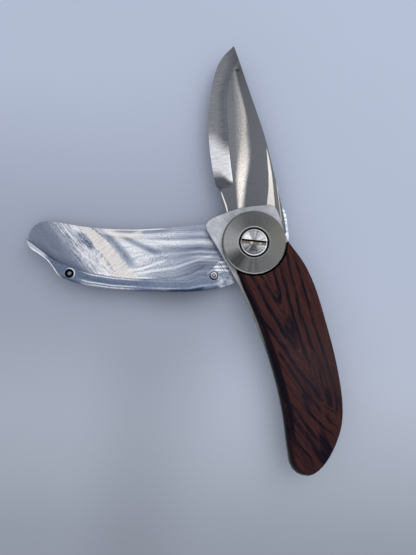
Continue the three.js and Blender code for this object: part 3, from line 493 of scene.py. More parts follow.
def rosewood(name, turn, seed, colours):
    """Wood with a pointed figure that runs along the grip, with painted shade on its rounded edges, a
    painted highlight along its front edge and a painted sheen over its middle
    """
    wood = Finish(name, turn, Specular_IOR_Level=0.05)
    x, z = wood.x, wood.z
    drift = wood.noise(x * 0.07, wood.y * 0.2, z * 0.3 + seed, detail=2) - 0.5
    y = wood.y + drift * 1.2
    slanting = (x * 0.33 + x * x * 0.0008 - y) * 0.85
    figure = y.larger(slanting, softness=2.2)
    fibre = wood.noise(x * 0.18, figure * 2.4, z * 1.2 + seed, detail=5, roughness=0.75)
    band = wood.noise(x * 0.05, figure * 0.85, 3 + seed, detail=4, roughness=0.65)
    faint = wood.noise(x * 0.16, y * 0.4, 6 + seed, detail=2)
    pores = wood.noise(x * 0.9, y * 6, z * 6 + seed, detail=1).span(0.6, 0.75)
    lines = strongest(x.streak(y, points, 1.5 * half_width, 0) for half_width, *points in WOOD_LINES)
    patches = strongest(spot(x, y, place, reach) * depth for depth, place, reach in WOOD_PATCHES)
    dark = lines * faint.span(0.3, 0.6, 0.5, 1) * fibre.span(0.3, 0.6, 0.75, 1.15) * x.span(38, 62, 1, 0.7)
    dark = dark.larger(patches * fibre.span(0.25, 0.6, 0.45, 1))
    dark = dark + band.span(0.45, 0.72, 0, 0.6) + fibre.span(0.48, 0.75, 0, 0.6)
    off_middle = (z - MID_HEIGHT).absolute()
    # painted shade: darker below the top face, on the rounded edges and sides
    dark = dark + off_middle.span(6.4, 6.9, 0.4, 0) + x.span(44, 66) * 0.2
    light = fibre.drop(0.28, 0.55) * band.span(0.3, 0.6, 1, 0.25)
    ground = light.mix(colours.wood, colours.wood_light)
    # painted shade on the rounded front edge: a dark band broken into thin stripes near the pivot, and a
    # darker strip by the edge
    inward = wood.y - x.line(WOOD_EDGE)
    along_front = x.drop(72, 86)
    shaded = inward.near(x.span(30, 80, 2.3, 2.7), 0.4, 1.3) * along_front * 0.97
    stripes = (inward * 6.6).sine().span(-0.4, 0.9, 0.35, 0.9) * inward.between(0.9, 3.3, 0.3)
    shaded = x.span(24, 36).blend(stripes, shaded)
    # rim: painted shade on the rounded rims, deeper below the outer face, except along the front edge
    rim = off_middle.drop(5.6, 6.7) * (1 - inward.drop(2, 4) * along_front)
    # painted highlight: a thin reddish line along the rounded front edge
    ground = (inward.hump(1.4, 0.5) * along_front * 0.3).mix(ground, colours.wood_light)
    shaded = strongest((shaded, rim * 0.8, inward.span(1.4, 2.4, 0.35, 0)))
    ground = shaded.mix(ground, colours.wood_shade)
    grained = dark.mix(ground, colours.wood_dark)
    # painted sheen over the middle of the grip
    grained = (x.hump(52, 27) * inward.span(3, 9) * 0.3).mix(grained, colours.wood_sheen)
    colour = (pores * 0.4).mix(grained, colours.wood_dark)
    return wood.made(colour, fibre * 0.16 + pores * 0.1 + 0.4, fibre * 0.4 - pores * 0.6, 0.03)


def brushed_plate(colours):
    """Aluminium brushed slantwise by hand, with painted reflections lighter towards its long sides and a
    painted shadow beside the disc
    """
    plate = Finish("satin_aluminium", FRONT_TURN, Metallic=1)
    x, y = plate.x, plate.y
    along = x * 0.78 + y * 0.62
    across = y * 0.78 - x * 0.62
    lines = plate.noise(along * 0.25, across * 5, plate.z, detail=4, roughness=0.7)
    cloud = plate.noise(x * 0.3, y * 0.3, plate.z * 0.3)
    level = lines.vary(0.86, 1.14) * cloud.vary(0.88, 1.12)
    # painted reflection: lighter towards the front and back edges, darker in the middle
    level = level * y.span(-14, -4, 1.35, 0.82) * y.span(4, 12, 1, 1.15)
    on_top = plate.z.span(*PLATE_TOP)
    margin = x.span(33, 46) * y.drop(-3, 3) * 0.8
    # painted shadow: the dark crescent on the plate between the disc and the wood's bay
    painted_shadow_by_disc = (x * x + y * y).drop(190, 225) * x.span(3, 5) * y.span(-9.6, -8.8)
    level = level * (1 - on_top * margin.larger(painted_shadow_by_disc))
    tint = (x.span(4, 14) * 0.6).mix(colours.plate, colours.plate_edge)
    return plate.made(level.shade(tint), lines * 0.2 + 0.28, lines, 0.012)


def pocket_floor(metal, colours):
    """Polished floor of the pocket: slanting bands, and streaks that flow to the pivot, all painted
    reflections, with painted shade and highlights along its edges and at the wall's foot
    """
    x, y = metal.x, metal.y
    wobble = metal.noise(x * 0.15, y * 0.15, 2) - 0.5
    slant = x + y * 0.92 + wobble * 2.2
    flow = y - x.line(FLOW_RISE) * y.line(FLOW_BEND) + wobble * 0.5
    grain = metal.noise(x * 0.06, flow * 2.3, 5, detail=6, roughness=0.75) - 0.5
    glitter = metal.noise(x * 2.6, y * 2.6, 11, detail=2, roughness=0.7) - 0.5
    speckle = metal.noise(x * 1.2, flow * 1.7, 7, roughness=0.8) - 0.5
    along_band = metal.noise(slant * 1.2, (y - x) * 0.07, 1, detail=4, roughness=0.8) - 0.5
    across_band = metal.noise((y - x) * 1.1, slant * 0.12, 9, detail=4, roughness=0.8) - 0.5
    glint = metal.noise(x * 0.9, y * 0.9, 8, detail=2).span(0.4, 0.6)
    near_pivot = x.drop(33, 47)
    # painted reflection levels across the streaks near the pivot and farther along
    rows = near_pivot.blend(flow.line(MIDDLE_ROWS), flow.line(PIVOT_ROWS))
    calm = x.span(20, 29) * y.span(2, 5) * near_pivot * 0.65
    rows = calm.blend(rows + grain * 1.3, 0.44) + grain * calm * 0.8
    rows = rows + speckle * x.span(24, 38, 0.2, 1.3)
    # painted reflections: bright slanting bands, torn at their edges
    bands = slant.line(SLANT_BANDS)
    torn = slant + across_band * 2.6
    in_band = torn.span(60.5, 61.8) * (torn - y.span(2, 12, 0, 3)).drop(66.4, 70.2)
    left = slant.span(67, 69) * slant.span(76, 84, 1, 0.08)
    bands = bands + along_band * left * 3.4 + across_band * (in_band * 2 + left * 0.8) + speckle * left
    bands = bands + left * y.span(3, 12, -0.03, 0.16)
    level = slant.span(60.2, 61.4).blend(rows, bands) + glitter * (0.35 + (left + in_band) * 0.75)
    ragged = (speckle * 3.4 + grain * 2 + 1).span(0.1, 1.6, 0, 1.6)
    front = y - x.line(FRONT_EDGE)
    foot = x.line(WALL_FOOT) - y
    # painted shade and dark reflections: the shadow bands, the wedge, and the shade along the front edge and
    # at the wall's foot
    painted_shade_and_dark_reflections = ragged * strongest((
        y.streak(slant, BAND_SHADOW, 1.3, 0, 2) * 0.5,
        y.streak(slant, WEDGE, 3.6, 0, 3.5) * 0.55,
        x.streak(y, LOWER_SHADOW, 2.1, 0, 3.5) * 0.5,
        spot(slant, y, (70.8, 1.2), (3, 3.8)) * (0.5 + across_band).span(0.35, 0.6, 0.1, 0.55),
        front.between(0.5, 2, 0.5) * x.between(36, 58, 4) * 0.32,
        x.streak(y, ARC_DARK, 0.8) * 0.18,
    ))
    painted_shade_and_dark_reflections = painted_shade_and_dark_reflections.larger(foot.drop(0.2, 3) * x.span(64, 70) * 0.1)
    # painted highlights along the streaks, the wall's foot and the front edge
    painted_highlights = strongest((
        x.streak(y, LOWER_LIGHT, 1.5) * 0.3,
        x.streak(y, ARC_LIGHT, 1) * 0.22,
        x.streak(y, UPPER_LIGHT, 0.9) * 0.3,
        foot.hump(0.95, 0.6) * x.between(40, 64, 5) * 0.45,
        front.drop(0.3, 0.7) * x.between(38, 62, 4) * 0.5,
    ))
    # painted shade in the corner at the wall's foot
    painted_corner_shade = foot.hump(0.15, 0.45) * x.between(26, 66, 4) * 0.5
    level = level - painted_shade_and_dark_reflections + painted_highlights - painted_corner_shade + x.span(24, 34, -0.12, 0.05)
    colour = three_tone(level, colours.pocket_dark, colours.pocket, colours.pocket_light)
    # painted reflection: a warm glinting band of light
    warm = in_band * glint.blend(0.2, 1.1) + x.between(46, 60, 4) * y.span(-1, 2, 0.6, 0)
    warm = warm.larger((left + in_band * 0.5) * glint * 0.35)
    return (warm * level.span(0.35, 0.8)).mix(colour, colours.pocket_warm), grain + along_band * left


def pocket_wall(metal, colours):
    """The wall around the pocket: steel-blue satin, with painted reflection levels across it and painted
    highlights along its rounded outer edge, the notch's rim and the ball's bore
    """
    x, y = metal.x, metal.y
    foot = x.line(WALL_FOOT)
    share = (y - foot) / (x.line(WALL_BACK) - foot)
    grain = metal.noise(x * 0.1, share * 7, 3, detail=4, roughness=0.75) - 0.5
    mottle = metal.noise(x * 0.9, y * 0.9, 6, roughness=0.7) - 0.5
    share = share + mottle * 0.06
    # painted darker strip along the wall's outer part near the pivot
    strip = share.span(0.79, 0.84) * x.between(19.5, 33, 2)
    # painted reflection levels across the wall
    level = x.span(42, 53).blend(share.line(WALL_NEAR), share.line(WALL_FAR)) + grain * 0.6
    level = x.span(66, 72).blend(level, 0.24) + mottle * 0.45 - strip * 0.4
    # painted highlight on the flank by the notch
    flank = x.span(81, 85) * 0.7
    # painted highlight along the notch's rim
    notch_rim_highlight = y.near(x.line(NOTCH_EDGE), 0.35, 0.9) * x.span(76, 77)
    to_x, to_y = x - BALL[0], y - BALL[1]
    away = (to_x * to_x + to_y * to_y) ** 0.5
    # painted highlight on the rim of the ball's bore, lit more on one side
    ball_rim_highlight = away.hump(2.15, 0.45) * (to_x * -0.6 - to_y * 0.4).span(-1, 1.6, 0.35, 1)
    level = strongest((level, flank, notch_rim_highlight, ball_rim_highlight))
    colour = three_tone(level, colours.wall_dark, colours.wall, colours.pocket_light)
    # painted shade in the gap around the ball
    return away.drop(1.7, 1.9).mix(colour, colours.gap)


def polished_pocket(colours):
    """The rear half's plate: its floor, its wall, and the land that the blade turns on, with painted
    reflections on all three
    """
    metal = Finish("polished_aluminium", REAR_TURN, Metallic=1)
    x, y, z = metal.x, metal.y, metal.z
    floor, relief = pocket_floor(metal, colours)
    mottle = metal.noise(x * 0.45, y * 0.7, 4, detail=4, roughness=0.6)
    # painted reflections: bright bars on the land
    bars = strongest(x.streak(y + (mottle - 0.5) * 0.8, points, 0.8) for points in LAND_BARS)
    level = mottle.span(0.25, 0.75, 0.1, 0.75) + x.span(-10, -6, 0.15, 0)
    land = three_tone(level.larger(bars), colours.wall_dark, colours.pocket, colours.pocket_light)
    from_plate = x * 0.833 + y * 0.551 - 14.7
    seams = from_plate.hump(0.55, 0.3).larger(from_plate.hump(1.35, 0.22) * 0.7) * y.between(6.5, 15, 1.5)
    land = (seams * 0.8).mix(land, colours.wall_dark)
    on_land = z.between(*LAND_HEIGHTS, 0.08)
    colour = z.span(*WALL_RISE).mix(on_land.mix(floor, land), pocket_wall(metal, colours))
    return metal.made(colour, mottle * 0.15 + 0.2, relief, 0.03)


def ground_blade(colours):
    """Satin steel: a painted bright band along the main face, painted highlights on the spine, tang and
    choil, and a hollow grind with its grain across and painted light on its bevel
    """
    steel = Finish("blade_steel", BLADE_TURN, Metallic=1)
    x, y = steel.x, steel.y
    shimmer = (steel.noise(x * 1.2, y * 0.4, 1) - 0.5) * 0.9
    sparkle = steel.noise(x * 1.9, y * 1.5, 4, roughness=0.85)
    cross = steel.noise(x * 2.6, y * 0.2, 2, detail=5, roughness=0.8)
    spine_side, edge_side, grind = x.line(BAND_SPINE_SIDE), x.line(BAND_EDGE_SIDE), x.line(GRIND_LINE)
    inner = y - spine_side + shimmer * 0.3
    across = inner / (edge_side - spine_side)
    # painted reflection: the bright band along the main face, with its glow and plateau
    lit = inner.span(-0.6, x.span(44, 58, 2.3, 0.6))
    stripe = (across - x.span(30, 58, 0.58, 0.26)) / 0.5
    glow = x.line(BAND_GLOW) * stripe.drop(0, 1)
    plateau = x.span(24, 34) * across.drop(0.25, 1.5) * x.span(34, 70, 0.34, 0.25)
    glow = glow.larger(plateau) * lit * sparkle.vary(0.68, 1.32)
    face = inner.span(-0.5, 0.5).blend(x.span(20, 60, 0.1, 0.093), x.span(25, 33, 0.12, 0.15))
    low, high = x.line(SLIVER_LOW) - 0.25, x.line(SLIVER_HIGH) + 0.15
    sliver = y.between(high, low, 0.3) * x.drop(38.5, 42.5) * x.span(12, 34, 0.47, 0.56)
    sliver = sliver * sparkle.vary(0.85, 1.1)
    # painted highlights on the spine's rim and along the choil
    rim = y.near(x.line(RIM_LINE), 0.05, 0.25) * x.drop(34, 44) * 0.4
    choil = y.near(x.line(CHOIL_LINE), 0.15, 0.5) * x.between(13, 25.2, 0.4) * 0.75
    mark = x.between(74.5, 75.2, 0.12) * y.between(-1.4, 1.6, 0.3) * 0.06
    # painted highlight: a small light peak by the tip
    peak = x.between(75.4, 79, 0.6) * (y.absolute() + (x - 75) * 0.35).drop(0.6, 1.5) * 0.2
    face = strongest((face, glow, sliver, rim, choil)) - mark
    # painted reflection: the bevel is bright between these ends, and dark at the plunge
    upper_end = (y - 6).span(-1, 8, 39.4, 46.9) - x
    lower_end = x - (y - 6).span(-0.5, 6.5, 26.2, 30)
    outer = (y - grind).span(0.5, 5)
    bright = upper_end.span(-4.8, 5.2) * lower_end.span(-0.8, outer.blend(1.4, 4.2))
    streaks = cross.vary(0.72, 1.25) * sparkle.vary(0.9, 1.1)
    bevel = bright.blend(outer.blend(0.15, 0.25), outer.blend(0.86, 0.78)) * streaks
    plunge = x.between(25.2, 29.4, 0.9) * (1 - bright)
    bevel = (plunge * 0.9).blend(bevel, 0.09)
    on_bevel = (y - grind).span(-0.15, 0.15) * x.span(25, 26)
    # painted shade along the grind's line
    line = y.near(grind, 0.1, 0.45) * x.between(27, 72, 2)
    level = on_bevel.blend(face * cross.vary(0.9, 1.1), bevel) - line * 0.035
    # painted reflection: darker at the tip and towards it
    tip = x.span(75.5, 78) * (1 - on_bevel)
    level = tip.blend(level, 0.13).larger(peak) * x.span(64, 80, 1, 0.85)
    # painted highlight tint: the brightest parts are warmer
    warm = level.span(0.1, 0.38) * on_bevel.blend(1, 0.45)
    colour = level.shade(warm.mix(colours.blade, colours.blade_light))
    return steel.made(colour, cross * 0.2 + 0.22, cross, 0.006)


def turned_rings(steel, fineness):
    """Distance from the pivot, and fine circular lines about it"""
    radius = (steel.x * steel.x + steel.y * steel.y) ** 0.5
    return radius, steel.noise(radius * fineness, steel.z * 4, 0, roughness=0.7)


def fan(steel, levels, rays, contrast):
    """Painted reflection: level of a fan of light on a turned face, from (degrees, level) points around it
    """
    turn = steel.x.math("ARCTAN2", steel.y, steel.x) * (180 / pi)
    around = steel.x / (steel.x.absolute() + steel.y.absolute() + 0.01)
    ray = steel.noise(around * rays, turn.span(-2, 2), 3, detail=4, roughness=0.75)
    return turn.line(levels) * ray.vary(1 - contrast, 1 + contrast)


def turned_disc(colours):
    """Turned face with its painted fan of light, a chamfer with a painted highlight at the lower right, a
    painted bright bore chamfer, and painted shade in the bore and at the rim
    """
    steel = Finish("turned_steel", Metallic=1)
    x, y = steel.x, steel.y
    radius, lines = turned_rings(steel, 6)
    # painted reflection: the fan of light on the face
    level = fan(steel, DISC_FAN, 11, 0.1) * lines.vary(0.86, 1.14)
    face = level.shade((x.span(4, 11) * y.span(-7, 5)).mix(colours.disc, colours.disc_tint))
    # painted glint on the chamfer's lower edge
    glint = radius.hump(12.45, 0.25) * (y * -1 - x * 0.25).span(7, 12, 0, 0.3)
    # painted highlight on the outer chamfer
    chamfer = fan(steel, CHAMFER_FAN, 11, 0.06) * lines.vary(0.9, 1.1) + glint
    face = radius.span(*OUTER_CHAMFER).mix(face, chamfer.shade(CHAMFER_TINT))
    # painted shade at the disc's outer rim
    face = radius.span(*DISC_RIM).mix(face, colours.gap)
    # painted light: the bore's chamfer is lighter towards one side
    bore_chamfer = (y - x).span(-6, 6, 0.26, 0.42).shade(CHAMFER_TINT)
    face = radius.span(*BORE_CHAMFER).mix(bore_chamfer, face)
    # painted shade in the disc's bore
    face = radius.span(*DISC_BORE).mix(colours.gap, face)
    return steel.made(face, lines * 0.2 + 0.22, lines, 0.01)


def bright_head(slot_turn, colours):
    """Turned face of a bolt's head: painted bright rays and a painted bright rim, the slot's dull floor with
    painted highlights and a painted shadow under its upper wall, and painted shade beside the head
    """
    steel = Finish("bright_steel", Metallic=1)
    x, y, z = steel.x, steel.y, steel.z
    radius, lines = turned_rings(steel, 3)
    speckle = steel.noise(x * 1.7, y * 1.7, 6, roughness=0.8)
    # painted darker reflection in a wedge below the middle
    wedge = (x.absolute() + y * 0.35).drop(0, 0.9) * y.between(-3.6, -0.9, 0.3)
    level = fan(steel, HEAD_FAN, 8, 0.7) * lines.vary(0.75, 1.25) * speckle.vary(0.7, 1.3)
    level = level * (1 - wedge * 0.45)
    # painted highlight: the rim is lighter on one side
    level = radius.span(4.75, 5).blend(level, (x - y).span(-5, 5, 0.4, 0.75))
    face = level.shade(level.span(0.2, 0.7).mix(colours.screw_dark, colours.screw))
    up = y * cos(slot_turn) - x * sin(slot_turn)
    # painted shadow: the slot's floor darkens under its upper wall
    floor = up.span(0.05, 0.55).mix(colours.slot, colours.gap)
    # painted highlights: two light spots on the slot's floor
    floor = (spot(x, up, (-0.9, -0.1), (0.6, 0.5)) * 0.4).mix(floor, colours.screw)
    floor = (spot(x, up, (2.6, -0.1), (0.6, 0.5)) * 0.25).mix(floor, colours.screw)
    on_slot = z.between(*SLOT_HEIGHTS, 0.02) * up.near(0, 0.97, 1) * radius.drop(4.9, 5.1)
    # painted shade on the head's side, in the counterbore
    beside = z.between(*GAP_HEIGHTS, 0.05) * radius.span(5.2, 5.3)
    face = beside.mix(on_slot.mix(face, floor), colours.gap)
    return steel.made(face, lines * 0.2 + 0.22, lines, 0.01)


def plain_metal(name, base, fineness):
    """Metal of the small inner pieces, with a fine mottle"""
    metal = Finish(name, Metallic=1)
    grain = metal.noise(metal.x * fineness, metal.y * fineness, metal.z * fineness)
    return metal.made(grain.vary(0.8, 1.2).shade(base), grain * 0.2 + 0.25, grain, 0.01)


def ringed_metal(name, place, rings):
    """Polished end of a pin or a ball: painted reflections and shade in rings around its middle, as (radius,
    level) points, lit more on one side
    """
    metal = Finish(name, Metallic=1)
    x, y = metal.x - place.x / MM, metal.y - place.y / MM
    grain = metal.noise(metal.x * 1.5, metal.y * 1.5, metal.z * 1.5)
    radius = (x * x + y * y) ** 0.5 + (grain - 0.5) * 0.25
    # painted light: one side is lighter than the other
    level = radius.line(rings) * (x * -1 + y).span(-1.5, 1.5, 0.7, 1.3)
    return metal.made(level.shade((0.95, 0.97, 1)), grain * 0.15 + 0.2, grain, 0.01)


def pale_floor(stage):
    """Pale board with the soft shadows that the room throws painted on it, and a painted lighter patch
    beside the front half
    """
    board = Finish("pale_floor", Roughness=0.8, Specular_IOR_Level=0.15)
    x, y = board.x, board.y
    patches = board.noise(x * 0.006, y * 0.006, 0)
    # painted shadows: a soft shadow to the left, a darker band, and a shadow under the rear half
    painted_soft_shadow = x.drop(-30, 30) * y.span(-110, -20) * y.span(-15, 85, 0.28, 0)
    painted_band_shade = x.hump(-43, 30) * y.span(-55, -30, 0.12, 0)
    # painted light: lighter beside the front half
    near = x.hump(2, 28) * y.hump(-60, 55) * 0.1
    painted_shadow_under_rear = x.hump(-31, 24) * y.hump(-22, 12) * 0.22
    # the floor also grows darker towards its near side
    level = patches.vary(1.155, 1.195) * (1 - painted_soft_shadow) * (1 - painted_band_shade - painted_shadow_under_rear + near) * y.span(-135, -50, 0.64, 1)
    board.set("Base Color", level.shade(y.span(-100, 20).mix(stage.floor_grey, stage.floor)))
    return board.material


# Modelling

def pick(piece):
    """Makes this the one selected piece"""
    bpy.ops.object.select_all(action="DESELECT")
    piece.select_set(True)
    bpy.context.view_layer.objects.active = piece


def apply_modifier(piece, kind, **settings):
    modifier = piece.modifiers.new(kind.lower(), kind)
    for name, value in settings.items():
        setattr(modifier, name, value)
    pick(piece)
    bpy.ops.object.modifier_apply(modifier=modifier.name)


def smooth(piece, angle=30):
    pick(piece)
    bpy.ops.object.shade_smooth_by_angle(angle=radians(angle))
    apply_modifier(piece, "WEIGHTED_NORMAL", keep_sharp=True)


def paint(piece, material):
    piece.data.materials.clear()
    piece.data.materials.append(material)


def dress(piece, material, body, slot, *nodes):
    """Gives a finished piece its material and its place among the pieces that move"""
    paint(piece, material)
    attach(piece, body)
    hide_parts(*nodes)


def finished_copy(node, name, edge, angle=30):
    """Copy of a frame node with its flat faces in one, its edges broken and its curves smooth"""
    piece = bpy.data.objects.new(name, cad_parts[node].data.copy())
    bpy.context.scene.collection.objects.link(piece)
    pick(piece)
    bpy.ops.object.mode_set(mode="EDIT")
    bpy.ops.mesh.select_all(action="SELECT")
    bpy.ops.mesh.remove_doubles(threshold=0.0005 * MM)
    bpy.ops.mesh.dissolve_limited(angle_limit=radians(0.3))
    bpy.ops.object.mode_set(mode="OBJECT")
    if edge:
        apply_modifier(
            piece, "BEVEL", width=edge, segments=2, limit_method="ANGLE", angle_limit=radians(40),
            use_clamp_overlap=True)
    smooth(piece, angle)
    return piece


def turned(name, profile, place=(0, 0), steps=128):
    """Piece turned about a vertical axis, from the (radius, height) points of its half section"""
    bpy.ops.mesh.primitive_plane_add(size=MM, location=(place[0] + profile[0][0], place[1], profile[0][1]))
    piece = bpy.context.object
    piece.name = name
    bpy.ops.object.transform_apply(location=True)
    bpy.ops.object.mode_set(mode="EDIT")
    bpy.ops.mesh.select_all(action="SELECT")
    bpy.ops.mesh.merge(type="CENTER")
    for (radius, height), (next_radius, next_height) in zip(profile, profile[1:]):
        step = (next_radius - radius, 0, next_height - height)
        bpy.ops.mesh.extrude_vertices_move(TRANSFORM_OT_translate={"value": step})
    bpy.ops.mesh.select_all(action="SELECT")
    bpy.ops.mesh.spin(steps=steps, angle=2 * pi, center=(*place, 0), axis=(0, 0, 1))
    bpy.ops.mesh.select_all(action="SELECT")
    bpy.ops.mesh.remove_doubles(threshold=0.001 * MM)
    bpy.ops.mesh.normals_make_consistent(inside=False)
    bpy.ops.object.mode_set(mode="OBJECT")
    return piece


def turns(end, steps):
    """Angles from 0 to end, in equal steps"""
    return [end * step / steps for step in range(steps + 1)]


def rounded(radius, height, inwards, upwards, size):
    """Points of a rounded corner at (radius, height), from its upright side to its level side"""
    across, up = radius + inwards * size, height + upwards * size
    return [(across - inwards * size * cos(t), up - upwards * size * sin(t)) for t in turns(pi / 2, 4)]


def cut(piece, cutter):
    apply_modifier(piece, "BOOLEAN", operation="DIFFERENCE", solver="EXACT", object=cutter)
    bpy.data.objects.remove(cutter)


# Operators

class KnifeOperator:
    """A step that finishes some pieces, with the scene's sizes and colours"""

    bl_options = {"REGISTER", "UNDO"}

    def execute(self, context):
        self.make(context.scene.knife_sizes, context.scene.knife_colours)
        return {"FINISHED"}


class KNIFE_OT_plates(KnifeOperator, bpy.types.Operator):
    """Finish the metal plates of both halves"""

    bl_idname = "knife.plates"
    bl_label = "Plates"

    def make(self, sizes, colours):
        rear = finished_copy("rear_frame", "rear_plate", sizes.plate_edge)
        dress(rear, polished_pocket(colours), "rear_half", "polished_aluminium", "rear_frame")
        front = finished_copy("front_frame", "front_plate", sizes.plate_edge)
        dress(front, brushed_plate(colours), "front_half", "satin_aluminium", "front_frame")


class KNIFE_OT_scales(KnifeOperator, bpy.types.Operator):
    """Finish the wooden scales of both halves"""

    bl_idname = "knife.scales"
    bl_label = "Scales"

    def make(self, sizes, colours):
        for side, turn, seed in (("front", FRONT_TURN, 0), ("rear", REAR_TURN, 11)):
            scale = finished_copy(f"{side}_scale", f"{side}_wood", 0)
            wood = rosewood(f"rosewood_{side}", turn, seed, colours)
            dress(scale, wood, f"{side}_half", "rosewood", f"{side}_scale")


class KNIFE_OT_blade(KnifeOperator, bpy.types.Operator):
    """Finish the blade with its grinds and its tang"""

    bl_idname = "knife.blade"
    bl_label = "Blade"

    def make(self, sizes, colours):
        blade = finished_copy("blade", "ground_blade", sizes.blade_edge, angle=22)
        dress(blade, ground_blade(colours), "blade", "blade_steel", "blade")


class KNIFE_OT_discs(KnifeOperator, bpy.types.Operator):
    """Turn the discs on both sides of the pivot"""

    bl_idname = "knife.discs"
    bl_label = "Discs"

    bore_radius: length("Bore radius", "Counterbore for the bolt's head", 6)
    bore_depth: length("Bore depth", "Depth of the counterbore", 2)
    front_hole: length("Front hole", "Radius of the hole for the screw", 2.6)
    rear_hole: length("Rear hole", "Radius of the hole for the barrel", 4.1)

    def make(self, sizes, colours):
        material = turned_disc(colours)
        for side, hole, inwards in (("front", self.front_hole, -1), ("rear", self.rear_hole, 1)):
            low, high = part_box(f"{side}_disc")
            rim = high.x
            face, inner = (low.z, high.z) if inwards > 0 else (high.z, low.z)
            edge = sizes.bore_chamfer
            profile = [
                (hole, inner),
                (rim - edge, inner),
                (rim, inner - inwards * edge),
                (rim, face + inwards * sizes.disc_chamfer_drop),
                (rim - sizes.disc_chamfer, face),
                (self.bore_radius + edge, face),
                (self.bore_radius, face + inwards * edge),
                (self.bore_radius, face + inwards * self.bore_depth),
                (hole, face + inwards * self.bore_depth),
                (hole, inner),
            ]
            disc = turned(f"{side}_turned_disc", profile, steps=192)
            smooth(disc)
            dress(disc, material, "rear_half", "turned_steel", f"{side}_disc")


class KNIFE_OT_bolt(KnifeOperator, bpy.types.Operator):
    """Turn the slotted screw and the headed barrel that it goes into"""

    bl_idname = "knife.bolt"
    bl_label = "Bolt"

    head_height: length("Head height", "Height of the slotted head", 1.6)
    shank_radius: length("Shank radius", "Radius of the screw's shank", 2.4)
    barrel_radius: length("Barrel radius", "Radius of the barrel", 4)
    barrel_bore: length("Barrel bore", "Radius of the barrel's bore", 2.6)
    barrel_floor: length("Barrel floor", "Thickness of the barrel's closed end", 4)
    barrel_seat: length("Barrel seat", "Height of the barrel's head", 1.9)
    slot_edge: length("Slot edge", "Broken edges of the slot", 0.08)

    def make(self, sizes, colours):
        low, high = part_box("pivot_screw")
        seat = high.z - self.head_height
        edge = sizes.head_edge
        profile = [
            (0, low.z),
            *reversed(rounded(self.shank_radius, low.z, -1, 1, edge / 2)),
            (self.shank_radius, seat),
            (high.x, seat),
            *rounded(high.x, high.z, -1, -1, edge),
            (0, high.z),
        ]
        screw = turned("slotted_screw", profile)
        bpy.ops.mesh.primitive_cube_add(size=1, location=(0, 0, high.z), rotation=(0, 0, sizes.slot_turn))
        slot = bpy.context.object
        slot.scale = (4 * high.x, sizes.slot_width, 2 * sizes.slot_depth)
        bpy.ops.object.transform_apply(location=True, rotation=True, scale=True)
        cut(screw, slot)
        bpy.ops.mesh.primitive_cone_add(
            vertices=24, radius1=0, radius2=2 * sizes.dot_radius, depth=2 * sizes.dot_radius,
            location=(PUNCH_MARK[0] * MM, PUNCH_MARK[1] * MM, high.z))
        cut(screw, bpy.context.object)
        apply_modifier(
            screw, "BEVEL", width=self.slot_edge, segments=2, limit_method="ANGLE", angle_limit=radians(50))
        smooth(screw)
        finish = bright_head(sizes.slot_turn, colours)
        dress(screw, finish, "rear_half", "bright_steel", "pivot_screw")

        low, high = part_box("pivot_barrel")
        profile = [
            (0, low.z),
            *reversed(rounded(high.x, low.z, -1, 1, edge)),
            (high.x, low.z + self.barrel_seat),
            (self.barrel_radius, low.z + self.barrel_seat),
            (self.barrel_radius, high.z),
            (self.barrel_bore, high.z),
            (self.barrel_bore, low.z + self.barrel_floor),
            (0, low.z + self.barrel_floor),
        ]
        barrel = turned("headed_barrel", profile)
        smooth(barrel)
        dress(barrel, finish, "rear_half", "turned_steel", "pivot_barrel")


class KNIFE_OT_stop_pins(KnifeOperator, bpy.types.Operator):
    """Turn the stop pins, with their crowned inner ends"""

    bl_idname = "knife.stop_pins"
    bl_label = "Stop pins"

    crown: length("Crown", "Height of the rounded end", 0.6)
    edge: length("Edge", "Broken outer edge", 0.2)

    def make(self, sizes, colours):
        for side, inwards in (("rear", 1), ("front", -1)):
            node = f"{side}_stop_pin"
            low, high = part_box(node)
            middle = (low + high) / 2
            radius = (high.x - low.x) / 2
            inner, outer = (high.z, low.z) if inwards > 0 else (low.z, high.z)
            profile = [
                *((radius * sin(t), inner - inwards * self.crown * (1 - cos(t))) for t in turns(pi / 2, 8)),
                (radius, outer + inwards * self.edge),
                (radius - self.edge, outer),
                (0, outer),
            ]
            pin = turned(f"{side}_crowned_pin", profile, (middle.x, middle.y), steps=48)
            smooth(pin, 35)
            dress(pin, ringed_metal(node, middle, PIN_RINGS), f"{side}_half", "bright_steel", node)


class KNIFE_OT_ball_catch(KnifeOperator, bpy.types.Operator):
    """Turn the ball of the catch, and finish its spring and plug"""

    bl_idname = "knife.ball_catch"
    bl_label = "Ball catch"

    def make(self, sizes, colours):
        low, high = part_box("detent_ball")
        middle = (low + high) / 2
        radius = (high.z - low.z) / 2
        profile = [(radius * sin(t), middle.z + radius * cos(t)) for t in turns(pi, 24)]
        ball = turned("polished_ball", profile, (middle.x, middle.y), steps=48)
        pick(ball)
        bpy.ops.object.shade_smooth()
        ball_steel = ringed_metal("ball_steel", middle, BALL_RINGS)
        dress(ball, ball_steel, "catch_ball", "bright_steel", "detent_ball")
        spring_steel = plain_metal("spring_steel", colours.spring, 3)
        for node in ("detent_spring", "detent_plug"):
            paint(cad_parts[node], spring_steel)


class KNIFE_OT_washers_and_pins(KnifeOperator, bpy.types.Operator):
    """Finish the washers, and the blind pins that key the scales"""

    bl_idname = "knife.washers_and_pins"
    bl_label = "Washers and pins"

    def make(self, sizes, colours):
        bronze = plain_metal("bronze", colours.bronze, 1.5)
        steel = plain_metal("inner_steel", colours.spring, 2.5)
        finishes = {
            "rear_washer": bronze, "front_washer": bronze, "spring_washer": steel,
            "rear_scale_pin_1": steel, "rear_scale_pin_2": steel,
            "front_scale_pin_1": steel, "front_scale_pin_2": steel,
        }
        for node, material in finishes.items():
            paint(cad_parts[node], material)


